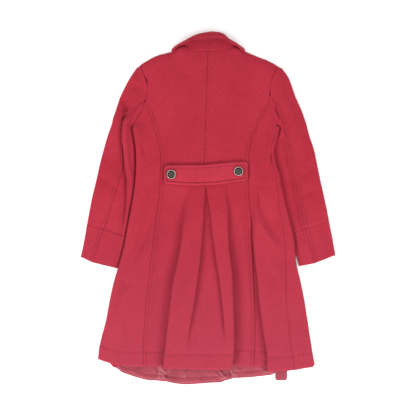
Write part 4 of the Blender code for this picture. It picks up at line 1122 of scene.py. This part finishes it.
def half_belt():
    """The belt: a rolled rim, a stitched furrow inside it, a soft middle, and dents under the buttons."""
    x0, x1 = BELT["x"][0], BELT["x"][-1]
    ends = [0.4, 0.8, 1.4, 2.2, 3.2, 4.4, 5.6, 6.6, 7.4, 8.2, 9.2, 10.6, 12.5, 15, 18]
    xs = [x0 + s for s in ends] + spaced(x0 + 20.5, x1 - 20.5, 88) + [x1 - s for s in reversed(ends)]
    vs = [0, 0.012, 0.03, 0.055, 0.08, 0.1, 0.118, 0.132, 0.146, 0.16, 0.18, 0.21]
    vs = vs + spaced(0.24, 0.76, 22) + [1 - v for v in reversed(vs)]
    edges = [(x, at(BELT, "top", x, "x") - belt_inset(x), at(BELT, "low", x, "x") + belt_inset(x))
             for x in xs]
    grid = np.array([[(x, mix(top, low, v), BELT_HEIGHT) for x, top, low in edges] for v in vs])
    n = normals(grid)
    x, y = grid[..., 0], grid[..., 1]
    inside = belt_inside(x, y)
    relief = 2.5 * smooth((inside - 0.2) / 2.4) * smooth((8.2 - inside) / 2.4)
    relief = relief * (1 + 0.2 * noise(x, y, 10, 71)) - 1.2 * bump(inside, 7.9, 1.3)
    relief = relief + 0.8 * smooth((inside - 9) / 12) + 0.3 * noise(x, y, 34, 72)
    relief = relief + 0.12 * noise(x, y, 12, 73) - 0.5 * bump(inside, 0, 0.9)
    for bx, by in BUTTONHOLES:
        relief = relief - 0.9 * np.exp(-((x - bx) / 4.5) ** 4 - ((y - by) / 1.0) ** 2)
    for bx, by in BUTTONS.values():
        relief = relief - 0.5 * np.exp(-(np.hypot(x - bx, y - by) / 12) ** 4)
    return moved(grid, n, relief), n


# Radius and height along a button's section, from the middle of its underside to the top of its dome
BUTTON_PROFILE = [(0.0, 0.0), (9.0, 0.0), (11.6, 0.0), (12.7, 0.35), (13.3, 1.1), (13.5, 2.2), (13.35, 3.1),
                  (12.9, 3.9), (12.4, 4.3), (11.8, 4.4), (11.2, 4.2), (10.8, 3.7), (10.5, 3.0), (10.0, 2.6),
                  (9.2, 2.45), (8.2, 2.45), (7.4, 2.6), (6.9, 3.0), (6.5, 3.35), (5.8, 3.5), (5.0, 3.35),
                  (4.4, 3.0), (3.9, 2.9), (3.3, 3.0), (2.4, 3.3), (1.2, 3.5), (0.0, 3.55)]
BEADS, FLUTES, BUTTON_SIDES = 32, 8, 96


def button(name, place):
    """A turned metal button: a raised beaded rim, a dish with shallow flutes, and a plain dome."""
    verts, faces, rings = [], [], []
    for radius, height in BUTTON_PROFILE:
        beads = 0.16 if 11.0 < radius < 12.8 and height > 3.5 else 0.0
        flutes = 0.28 * float(bump(radius, 7.6, 2.0)) if height > 2.2 and radius else 0.0
        angles = [2 * math.pi * i / BUTTON_SIDES for i in range(BUTTON_SIDES if radius else 1)]
        rings.append(range(len(verts), len(verts) + len(angles)))
        verts += [(place[0] + radius * math.cos(a), place[1] + radius * math.sin(a),
                   BELT_TOP + GAP + height + beads * math.cos(BEADS * a) + flutes * math.cos(FLUTES * a))
                  for a in angles]
    for a, b in zip(rings, rings[1:]):
        for i in range(BUTTON_SIDES):
            j = (i + 1) % BUTTON_SIDES
            if len(a) == 1:
                faces.append((a[0], b[j], b[i]))
            elif len(b) == 1:
                faces.append((a[i], a[j], b[0]))
            else:
                faces.append((a[i], a[j], b[j], b[i]))
    return add_mesh(name, verts, faces)


# The linings and the facing's end, which show below the back's hem
def lining_grid(xs, lift, tucks):
    """Lining from under the back's hem to its own, which is turned up and stitched."""
    grid = np.array([[(x, mix(-415.0, line(FRONT_HEM, "y", x, "x") + 3.2, v), lift(x)) for x in xs]
                     for v in spaced(0, 1, 30)])
    x, y = grid[..., 0], grid[..., 1]
    hem = y - y[-1:, :]
    turned = 14 + 1.5 * noise(x, y * 0, 31, 83)
    relief = 1.6 * smooth((turned - hem) / 1.6) - 0.9 * bump(hem - turned, 1.2, 1.2)
    relief = relief * smooth((hem + 1) / 3) + 1.3
    relief = relief + 0.6 * noise(x, y * 0.5, 15, 81) + 0.5 * noise(x, y, 38, 82)
    relief = relief + TUCK_DEPTH * creases(x, y, tucks)
    n = normals(grid)
    return moved(grid, n, np.maximum(relief, 0)), n


LINING_ON_FLOOR = FLOOR + WOOL / 2 + GAP + LINING / 2
LINING_ROW = -400.0
TUCKS_LEFT = [
    ([(-131, -482), (-123, -490), (-115, -498)], 3.0, 2.4, 1.0),
    ([(-126, -478), (-116, -486), (-110, -494)], 2.2, -1.0, 1.0),
    ([(-116, -455), (-115, -470), (-114, -484)], 1.8, -1.2, 1.0),
    ([(-134, -462), (-126, -472), (-128, -482)], 4.0, 1.6, 1.0),
    ([(-156, -466), (-150, -476), (-154, -486)], 4.0, 1.0, 1.0),
    ([(-60, -468), (-66, -484), (-58, -500)], 5.0, 1.2, 1.0),
    ([(34, -470), (42, -482), (50, -494)], 4.0, 2.2, 1.0),
    ([(20, -478), (34, -486), (46, -497)], 3.0, 1.4, 1.0),
    ([(44, -462), (48, -476), (52, -488)], 2.4, -1.2, 1.0),
    ([(-232, -466), (-214, -472), (-196, -470)], 5.0, 0.9, 1.0),
]
TUCKS_RIGHT = [
    ([(66, -464), (72, -476), (80, -488)], 4.0, 1.8, 1.0),
    ([(80, -462), (92, -472), (104, -468)], 5.0, 1.2, 1.0),
    ([(150, -462), (164, -470), (180, -472)], 5.0, 1.0, 1.0),
]


def lining_height(x):
    """The left lining climbs over the right front as its own front does."""
    return LINING_ON_FLOOR + 0.1 + LAYER * ease((x - climb_start(LINING_ROW) + 3) / 14)


def facing_tab():
    """The end of the facing: a narrow strip with a rounded end."""
    rows = []
    for y in np.linspace(-440, -499.5, 26):
        down = max(0.0, (-490 - y) / 9.5)
        narrow = 5.0 * (1 - math.sqrt(max(0.0, 1 - down ** 2)))
        z = mix(3.6, 2.4, ease((-470 - y) / 29))
        rows.append([(mix(195 + narrow, 229 - narrow, u), y, z) for u in np.linspace(0, 1, 26)])
    grid = np.array(rows)
    n = normals(grid)
    return moved(grid, n, 0.15 * noise(grid[..., 0], grid[..., 1], 12, 91) + 0.15), n


# Meshes
def add_mesh(name, verts, faces):
    verts = (np.array(verts) - PART_CENTRE) * 0.001
    verts[:, 2] = np.maximum(verts[:, 2], 0.0)
    mesh = bpy.data.meshes.new(name)
    mesh.from_pydata(verts.tolist(), [], faces)
    mesh.update()
    mesh.polygons.foreach_set("use_smooth", [True] * len(mesh.polygons))
    obj = bpy.data.objects.new(name, mesh)
    bpy.context.scene.collection.objects.link(obj)
    return obj


# The rounded rim of a sheet, as shares of its thickness: up from the middle, and out
RIM = [(0.36, 0.04), (0.0, 0.064), (-0.36, 0.04)]


def shell(name, grid, n, wall):
    """A closed sheet of cloth with rounded edges, on both sides of a grid of points."""
    rows, cols = grid.shape[:2]
    count = rows * cols
    ring = [(0, c) for c in range(cols)] + [(r, cols - 1) for r in range(1, rows)]
    ring += [(rows - 1, c) for c in range(cols - 2, -1, -1)] + [(r, 0) for r in range(rows - 2, 0, -1)]
    r_i, c_i = np.array(ring).T
    edge, edge_n = grid[r_i, c_i], n[r_i, c_i]
    out = unit(edge - grid[np.clip(r_i, 1, rows - 2), np.clip(c_i, 1, cols - 2)])
    top, low = grid + n * wall / 2, grid - n * wall / 2
    rim = [edge + edge_n * wall * up + out * side * wall for up, side in RIM]
    verts = np.concatenate([top.reshape(-1, 3), low.reshape(-1, 3)] + rim)
    index = np.arange(count).reshape(rows, cols)
    a, b, c, d = index[:-1, :-1], index[1:, :-1], index[1:, 1:], index[:-1, 1:]
    upper = np.stack([a, b, c, d], axis=-1).reshape(-1, 4)
    faces = [upper, upper[:, ::-1] + count]
    around = index[r_i, c_i]
    loops = [around] + [2 * count + k * len(ring) + np.arange(len(ring)) for k in range(len(RIM))]
    loops += [around + count]
    for first, second in zip(loops, loops[1:]):
        faces.append(np.stack([first, np.roll(first, -1), np.roll(second, -1), second], axis=-1))
    faces = np.concatenate(faces)
    if orientation(top, low, a, b, c):
        faces = faces[:, ::-1]
    return add_mesh(name, verts, faces.tolist())


def orientation(top, low, a, b, c):
    """Whether the upper faces, as numbered, look down into the cloth."""
    flat = top.reshape(-1, 3)
    normal = np.cross(flat[b] - flat[a], flat[c] - flat[a]).reshape(-1, 3)
    away = (flat[a] - low.reshape(-1, 3)[a]).reshape(-1, 3)
    return float(np.sum(normal * away)) < 0


DASH_FACES = ([(0, 1 + (k + 1) % 6, 1 + k) for k in range(6)]
              + [(1 + k, 1 + (k + 1) % 6, 7 + (k + 1) % 6, 7 + k) for k in range(6)]
              + [(7 + k, 7 + (k + 1) % 6, 13) for k in range(6)])


def dash(start, end, up, radius):
    """One stitch: the corners of a short rounded thread."""
    axis = end - start
    length = np.linalg.norm(axis)
    axis = axis / max(length, 1e-6)
    side = np.cross(up, axis)
    side = side / max(np.linalg.norm(side), 1e-6)
    verts = [start - up * radius * 0.8]
    for share in (0.22, 0.78):
        middle = start + axis * length * share
        for a in (math.pi * k / 3 for k in range(6)):
            verts.append(middle + side * radius * math.cos(a) + up * radius * math.sin(a))
    return verts + [end - up * radius * 0.8]


def thread_mesh(name, dashes):
    """One mesh of many stitches."""
    verts, faces = [], []
    for start, end, up, radius in dashes:
        faces += [tuple(i + len(verts) for i in face) for face in DASH_FACES]
        verts += dash(start, end, up, radius)
    return add_mesh(name, verts, faces)


# Topstitching: length of a step, share of it that shows, height above the cloth, and thickness
STITCH, STITCH_SHARE, STITCH_LIFT, STITCH_RADIUS = 3.3, 0.74, 0.25, 0.38


def stitches(name, seams):
    """Topstitching: dashes of thread at even steps along lines of points on the cloth."""
    dashes = []
    for points, ups in seams:
        points, ups = np.asarray(points), np.asarray(ups)
        along = np.concatenate([[0], np.cumsum(np.linalg.norm(np.diff(points, axis=0), axis=1))])
        for s in np.arange(0.8, along[-1] - STITCH, STITCH):
            start, end = (np.array([np.interp(p, along, points[:, k]) for k in range(3)])
                          for p in (s, s + STITCH * STITCH_SHARE))
            up = unit(np.array([np.interp(s, along, ups[:, k]) for k in range(3)]))
            dashes.append((start + up * STITCH_LIFT, end + up * STITCH_LIFT, up, STITCH_RADIUS))
    return thread_mesh(name, dashes)


def on_top(grid, n, wall, column=None, row=None, rows=slice(None)):
    """A line of points on the upper face of a sheet, along one of its columns or rows."""
    if column is not None:
        return grid[rows, column] + n[rows, column] * wall / 2, n[rows, column]
    return grid[row, rows] + n[row, rows] * wall / 2, n[row, rows]


# Materials
class Finish:
    """A material, with nodes that follow the object's own coordinates."""

    def __init__(self, name):
        self.material = bpy.data.materials.new(name)
        self.material.use_nodes = True
        self.tree = self.material.node_tree
        self.shader = next(node for node in self.tree.nodes if node.type == "BSDF_PRINCIPLED")
        self.coords = self.add("TexCoord").outputs["Object"]

    def fill(self, node, inputs):
        """Sets a node's inputs to numbers and colours, or links them to other nodes' outputs."""
        for key, value in inputs.items():
            if isinstance(value, bpy.types.NodeSocket):
                self.tree.links.new(value, node.inputs[key])
            else:
                node.inputs[key].default_value = value

    def add(self, kind, inputs=None, **settings):
        node = self.tree.nodes.new("ShaderNode" + kind)
        for key, value in settings.items():
            setattr(node, key, value)
        self.fill(node, inputs or {})
        return node

    def noise(self, scale, detail, roughness, distortion=0.0, stretch=None):
        coords = self.coords
        if stretch:
            coords = self.add("Mapping", {"Vector": coords, "Scale": stretch}).outputs["Vector"]
        return self.add("TexNoise", {"Vector": coords, "Scale": scale, "Detail": detail,
                                     "Roughness": roughness, "Distortion": distortion}).outputs["Fac"]

    def maths(self, operation, a, b):
        return self.add("Math", {0: a, 1: b}, operation=operation).outputs["Value"]

    def total(self, *terms):
        """The sum of some outputs, each times its weight."""
        parts = [self.maths("MULTIPLY", value, weight) for value, weight in terms]
        result = parts[0]
        for part in parts[1:]:
            result = self.maths("ADD", result, part)
        return result

    def line(self, value, factor, start):
        return self.maths("ADD", self.maths("MULTIPLY", value, factor), start)

    def along(self, axis):
        return self.add("SeparateXYZ", {"Vector": self.coords}).outputs[axis]

    def ramp(self, value, *stops):
        node = self.add("ValToRGB", {"Fac": value})
        while len(node.color_ramp.elements) < len(stops):
            node.color_ramp.elements.new(0.5)
        for element, (place, colour) in zip(node.color_ramp.elements, stops):
            element.position = place
            element.color = (*colour, 1.0)
        return node.outputs["Color"]

    def mixed(self, factor, a, colour):
        """One colour laid over another."""
        return self.add("Mix", {0: factor, 6: a, 7: (*colour, 1.0)}, data_type="RGBA").outputs[2]

    def done(self, colour, roughness, height=None, strength=0.0, distance=0.0, **others):
        """Joins everything to the shader; the others are its numbers that are the same all over."""
        self.fill(self.shader, {"Base Color": colour, "Roughness": roughness})
        self.fill(self.shader, {key.replace("_", " "): value for key, value in others.items()})
        if height:
            bump_node = self.add("Bump", {"Height": height, "Strength": strength, "Distance": distance})
            self.fill(self.shader, {"Normal": bump_node.outputs["Normal"]})
        return self.material


WOOL_DARK = (0.235, 0.009, 0.021)
WOOL_MID = (0.310, 0.0135, 0.030)
WOOL_LIGHT = (0.380, 0.026, 0.048)
# The paler, pinker colour of the painted sheen towards the hem
WOOL_PAINTED_SHEEN = (0.262, 0.033, 0.058)
LINT = (0.80, 0.42, 0.42)


def make_wool(name="wool", shift=0.0):
    """Melton: a felted face with short fibres, faint mottling, a painted sheen that turns the lower coat
    paler and pinker, and a few pale flecks of lint.
    """
    m = Finish(name)
    broad = m.noise(9.0, 3.0, 0.55)
    mottle = m.noise(210.0, 5.0, 0.65, 0.6)
    fibres = m.noise(1.0, 4.0, 0.7, 1.4, (900.0, 2600.0, 1500.0))
    fuzz = m.noise(1500.0, 3.0, 0.7)
    colour = m.ramp(m.total((broad, 0.25), (mottle, 0.45), (fibres, 0.30)),
                    (0.32 + shift, WOOL_DARK), (0.50 + shift, WOOL_MID), (0.70 + shift, WOOL_LIGHT))
    # Painted sheen: towards the hem the wool is mixed with a paler, pinker colour that stands in for glare of
    # light from below
    painted_sheen = m.add("MapRange", {"Value": m.along("Y"), "From Min": 0.06, "From Max": -0.42,
                              "To Min": 0.0, "To Max": 0.42})
    colour = m.mixed(painted_sheen.outputs["Result"], colour, WOOL_PAINTED_SHEEN)
    flecks = m.add("TexVoronoi", {"Vector": m.coords, "Scale": 70.0})
    share = m.add("SeparateColor", {"Color": flecks.outputs["Color"]}).outputs[0]
    lint = m.maths("MULTIPLY", m.maths("LESS_THAN", flecks.outputs["Distance"], 0.045),
                   m.maths("GREATER_THAN", share, 0.985))
    colour = m.mixed(m.maths("MULTIPLY", lint, 0.55), colour, LINT)
    return m.done(colour, m.line(fuzz, 0.12, 0.84), m.total((mottle, 0.9), (fuzz, 0.35), (fibres, 0.35)),
                  0.5, 0.0007, Specular_IOR_Level=0.18, Sheen_Weight=0.12, Sheen_Roughness=0.45,
                  Sheen_Tint=(1.0, 0.62, 0.68, 1.0))


def make_satin():
    """Viscose satin: fine ribs of thread, soft gloss, faint crumples, and the satin's own colour kept a
    little darker as painted shade under the back's hem.
    """
    m = Finish("satin")
    broad = m.noise(28.0, 3.0, 0.5)
    thread = m.noise(1.0, 2.0, 0.6, 0.0, (2400.0, 160.0, 900.0))
    # The satin's own colours, darkened a little as painted shade under the back's hem
    colour = m.ramp(m.total((broad, 0.6), (thread, 0.4)), (0.30, (0.175, 0.014, 0.029)),
                    (0.50, (0.255, 0.026, 0.046)), (0.72, (0.34, 0.047, 0.075)))
    return m.done(colour, m.line(thread, 0.18, 0.34), m.total((broad, 1.0), (thread, 0.08)), 0.5, 0.002,
                  Specular_IOR_Level=0.45, Sheen_Weight=0.25, Sheen_Roughness=0.3, Anisotropic=0.4)


def make_pewter():
    """Antiqued metal: bright on the raised parts, dull and dark in the hollows."""
    m = Finish("pewter")
    fine = m.noise(900.0, 4.0, 0.6)
    raised = m.maths("MULTIPLY", m.maths("SUBTRACT", m.along("Z"), BUTTON_DARK), 430.0)
    colour = m.ramp(m.maths("ADD", raised, m.maths("MULTIPLY", fine, 0.4)), (0.25, (0.012, 0.010, 0.008)),
                    (0.62, (0.055, 0.050, 0.042)), (1.0, (0.36, 0.35, 0.31)))
    return m.done(colour, m.line(fine, 0.25, 0.22), fine, 0.25, 0.0003, Metallic=0.9)


def make_thread():
    """Twisted sewing thread, a little brighter than the wool."""
    m = Finish("thread")
    twist = m.noise(1300.0, 2.0, 0.5)
    colour = m.ramp(twist, (0.3, (0.46, 0.038, 0.066)), (0.7, (0.60, 0.085, 0.120)))
    return m.done(colour, 0.75, twist, 0.3, 0.0003, Specular_IOR_Level=0.2)


def part_centre():
    """Where the model's own centre lies in the sizes above."""
    low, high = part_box("button_left")
    place = BUTTONS["button_left"]
    return np.array([place[0] - (low[0] + high[0]) * 500, place[1] - (low[1] + high[1]) * 500,
                     BELT_TOP + GAP - low[2] * 1000])


PART_CENTRE = part_centre()
BUTTON_DARK = (BELT_TOP + GAP + 2.2 - PART_CENTRE[2]) * 0.001


def finish_piece(obj, material, nodes=()):
    obj.data.materials.append(material)
    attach(obj, "root")
    if nodes:
        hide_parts(*nodes)


WOOL_MATERIAL = make_wool()
BELT_MATERIAL = make_wool("wool_belt", -0.09)
SATIN = make_satin()
THREAD = make_thread()
PEWTER = make_pewter()
HOLE_STITCHES, HOLE_THREAD = 44, 0.24


def cloth_piece(node, grid, n, wall, material=None):
    obj = shell("cloth_" + node, grid, n, wall)
    finish_piece(obj, material or WOOL_MATERIAL, [node])


def topstitch(name, seams):
    finish_piece(stitches("topstitching_" + name, seams), THREAD)


def first_row(rows, y):
    """The first of some rows, given from the collar down, that isn't above a place."""
    return next(i for i, row_y in enumerate(rows) if row_y <= y)


def build_back():
    """The back's panels and their topstitching: down the middle, beside both seams and the side seam."""
    grids, middle, n, lower, whole = back_grids()
    for node, (grid, m) in grids.items():
        cloth_piece(node, grid, m, WOOL)
    top = len(YOKE_ROWS)
    down_middle, below = slice(2, top + first_row(BACK_ROWS, 122)), slice(top + 1, None)
    seams = [on_top(middle, n, WOOL, column=HALF + k, rows=down_middle) for k in (-AT_STITCH, AT_STITCH)]
    seams += [on_top(middle, n, WOOL, column=k, rows=below) for k in (AT_STITCH, 2 * HALF - AT_STITCH)]
    seams.append(on_top(lower, whole, WOOL, column=SIDE_R + len(PLAIN) + 1,
                        rows=slice(first_row(BACK_ROWS, 228), None)))
    topstitch("back", seams)


def build_fronts():
    for side, node in ((-1, "front_left"), (1, "front_right")):
        grid, n = front_grid(side)
        cloth_piece(node, grid, n, WOOL)


def from_seam(count, side):
    """A sheet's columns nearest its seam: the last ones for side -1, the first ones for side 1."""
    return slice(-count, None) if side < 0 else slice(0, count)


def build_sleeves():
    """Sleeves and cuffs, and their topstitching: beside the back seam and on both sides of the cuff's."""
    seams = []
    under_run = UNDER_RUN + len(PLAIN)
    for side, columns, top_of, first, seam_line, hem_line, word in (
            (-1, SLEEVE_L, left_sleeve_top, 309, (-49, -61, -84), (-143, -157, -176), "left"),
            (1, SLEEVE_R, right_sleeve_top, 328, (-39, -60, -72), (-138, -160, -168), "right")):
        (upper, n1), (under, n2) = sleeve_pair(columns, top_of, side, first)
        cloth_piece("sleeve_upper_" + word, pull_both(upper), n1, WOOL)
        cloth_piece("sleeve_under_" + word, pull_both(under), n2, WOOL)
        band, n3 = cuff(columns, top_of, side, seam_line, hem_line)
        cloth_piece("cuff_" + word, band, n3, WOOL)
        column = -1 - AT_STITCH if side < 0 else AT_STITCH
        start = first_row([y for _, y, _ in sleeve_lines(side)], 316)
        over, below = from_seam(OVER, side), from_seam(under_run, -side)
        row = row_at(band, CUFF_STITCH, False)
        seams += [on_top(upper, n1, WOOL, column=column, rows=slice(start, None)),
                  on_top(band, n3, WOOL, column=column),
                  on_top(upper, n1, WOOL, row=row_at(upper, CUFF_STITCH, True), rows=over),
                  on_top(under, n2, WOOL, row=row_at(under, CUFF_STITCH, True), rows=below),
                  on_top(band, n3, WOOL, row=row, rows=over),
                  on_top(band, n3, WOOL, row=row, rows=below)]
    topstitch("sleeves", seams)


def row_at(grid, distance, from_end):
    """The row that lies nearest a distance from a sheet's first or last row."""
    middle = grid[:, grid.shape[1] // 2]
    along = np.concatenate([[0], np.cumsum(np.linalg.norm(np.diff(middle, axis=0), axis=1))])
    along = along[-1] - along if from_end else along
    return int(np.argmin(np.abs(along - distance)))


def build_collar():
    grid, n = collar_grid()
    cloth_piece("collar", grid, n, COLLAR_CLOTH)
    topstitch("collar", [on_top(grid, n, COLLAR_CLOTH, row=row_at(grid, 7.2, False))])


def belt_path(inset):
    """A line round the belt at one distance inside its rounded outline."""
    x0, x1 = BELT["x"][0] + inset, BELT["x"][-1] - inset
    radius = BELT_CORNER - inset
    points = []
    for cx, start in ((x1 - radius, 90), (x1 - radius, 0), (x0 + radius, -90), (x0 + radius, -180)):
        top = start in (90, -180)
        edge = np.interp(cx, BELT["x"], BELT["top" if top else "low"]) + (-inset if top else inset)
        cy = edge - radius if top else edge + radius
        for k in range(9):
            a = math.radians(start - 90 * k / 8)
            points.append((cx + radius * math.cos(a), cy + radius * math.sin(a)))
    dense = []
    for (ax, ay), (bx, by) in zip(points, points[1:] + points[:1]):
        steps = max(1, int(math.hypot(bx - ax, by - ay) / 8))
        for i in range(steps):
            x = mix(ax, bx, i / steps)
            y = mix(ay, by, i / steps)
            if steps > 10:
                name, lift = ("top", -inset) if ay > 95 else ("low", inset)
                y = float(np.interp(x, BELT["x"], BELT[name])) + lift
            dense.append((x, y))
    return dense + dense[:1]


def build_belt():
    grid, n = half_belt()
    cloth_piece("half_belt", grid, n, BELT_CLOTH, BELT_MATERIAL)
    path = [(x, y, BELT_TOP - 0.5) for x, y in belt_path(7.9)]
    topstitch("belt", [(path, [(0, 0, 1)] * len(path))])
    for word, place in zip(("left", "right"), BUTTONHOLES):
        finish_piece(buttonhole("buttonhole_" + word, place), THREAD)
    for node, place in BUTTONS.items():
        finish_piece(button("metal_" + node, place), PEWTER, [node])


def buttonhole(name, place):
    """A slit edged with close stitches laid across its rim."""
    dashes = []
    for i in range(HOLE_STITCHES):
        a = 2 * math.pi * i / HOLE_STITCHES
        c, s = math.cos(a), math.sin(a)
        dashes.append((np.array([place[0] + 4.8 * c, place[1] + 0.5 * s, BELT_TOP - 0.4]),
                       np.array([place[0] + 6.0 * c, place[1] + 1.8 * s, BELT_TOP - 0.15]),
                       np.array([0, 0, 1.0]), HOLE_THREAD))
    return thread_mesh(name, dashes)


def build_hem():
    """The linings and the end of the facing that show below the back's hem."""
    over = climb_start(LINING_ROW)
    left = spaced(-262, over - 3, 54) + spaced(over, over + 11, 6) + spaced(over + 13, 61, 92)
    for node, xs, lift, tucks in (
            ("lining_left", left, lining_height, TUCKS_LEFT),
            ("lining_right", spaced(59.5, 190, 66), lambda x: LINING_ON_FLOOR, TUCKS_RIGHT)):
        grid, n = lining_grid(xs, lift, tucks)
        cloth_piece(node, grid, n, LINING, SATIN)
    grid, n = facing_tab()
    cloth_piece("facing_tab", grid, n, LINING, SATIN)


# Metres: the width of the photo's frame on the floor, and sizes of the stage
FRAME_WIDTH = 1.2064
CAMERA_HEIGHT = 3.6
FLOOR_HALF, FLOOR_DROP = 6.0, -0.0005


def build_stage():
    mesh = bpy.data.meshes.new("floor")
    corners = [(x * FLOOR_HALF, y * FLOOR_HALF, FLOOR_DROP) for x, y in ((-1, -1), (1, -1), (1, 1), (-1, 1))]
    mesh.from_pydata(corners, [], [(0, 1, 2, 3)])
    floor = bpy.data.objects.new("floor", mesh)
    bpy.context.scene.collection.objects.link(floor)
    paper = Finish("paper")
    mesh.materials.append(paper.done((0.97, 0.97, 0.97, 1), 0.9, Specular_IOR_Level=0.1))


def area_light(name, place, size, energy):
    """A rectangular light that points at the coat's middle."""
    data = bpy.data.lights.new(name, "AREA")
    data.shape = "RECTANGLE"
    data.size, data.size_y = size
    data.energy = energy
    light = bpy.data.objects.new(name, data)
    bpy.context.scene.collection.objects.link(light)
    light.location = place
    light.rotation_euler = (-Vector(place)).to_track_quat("-Z", "Y").to_euler()


# Lights in a ring round the coat: direction in degrees, and share of LIGHT_POWER
LIGHT_POWER, LIGHT_REACH, LIGHT_HEIGHT, LIGHT_SIZE = 32.5, 2.3, 1.5, (1.5, 0.9)
RING = ((-90, 0.75), (-45, 1.15), (0, 0.6), (45, 0.35), (90, 0.1), (135, 0.4), (180, 0.75), (-135, 1.35))


def build_light():
    world = bpy.data.worlds.new("studio")
    world.use_nodes = True
    background = next(node for node in world.node_tree.nodes if node.type == "BACKGROUND")
    background.inputs["Color"].default_value = (1.0, 0.99, 0.98, 1)
    background.inputs["Strength"].default_value = 0.49
    scene = bpy.context.scene
    scene.world = world
    scene.view_settings.view_transform = "Standard"
    scene.view_settings.look = "None"
    for degrees, share in RING:
        a = math.radians(degrees)
        place = (LIGHT_REACH * math.cos(a), LIGHT_REACH * math.sin(a), LIGHT_HEIGHT)
        area_light("ring_%d" % degrees, place, LIGHT_SIZE, LIGHT_POWER * share)


def build_camera():
    data = bpy.data.cameras.new("camera")
    data.sensor_width = 36.0
    data.lens = 36.0 * CAMERA_HEIGHT / FRAME_WIDTH
    camera = bpy.data.objects.new("camera", data)
    camera.location = (-PART_CENTRE[0] * 0.001, -PART_CENTRE[1] * 0.001, CAMERA_HEIGHT)
    bpy.context.scene.collection.objects.link(camera)
    bpy.context.scene.camera = camera


build_back()
build_fronts()
build_sleeves()
build_collar()
build_belt()
build_hem()
build_stage()
build_light()
build_camera()
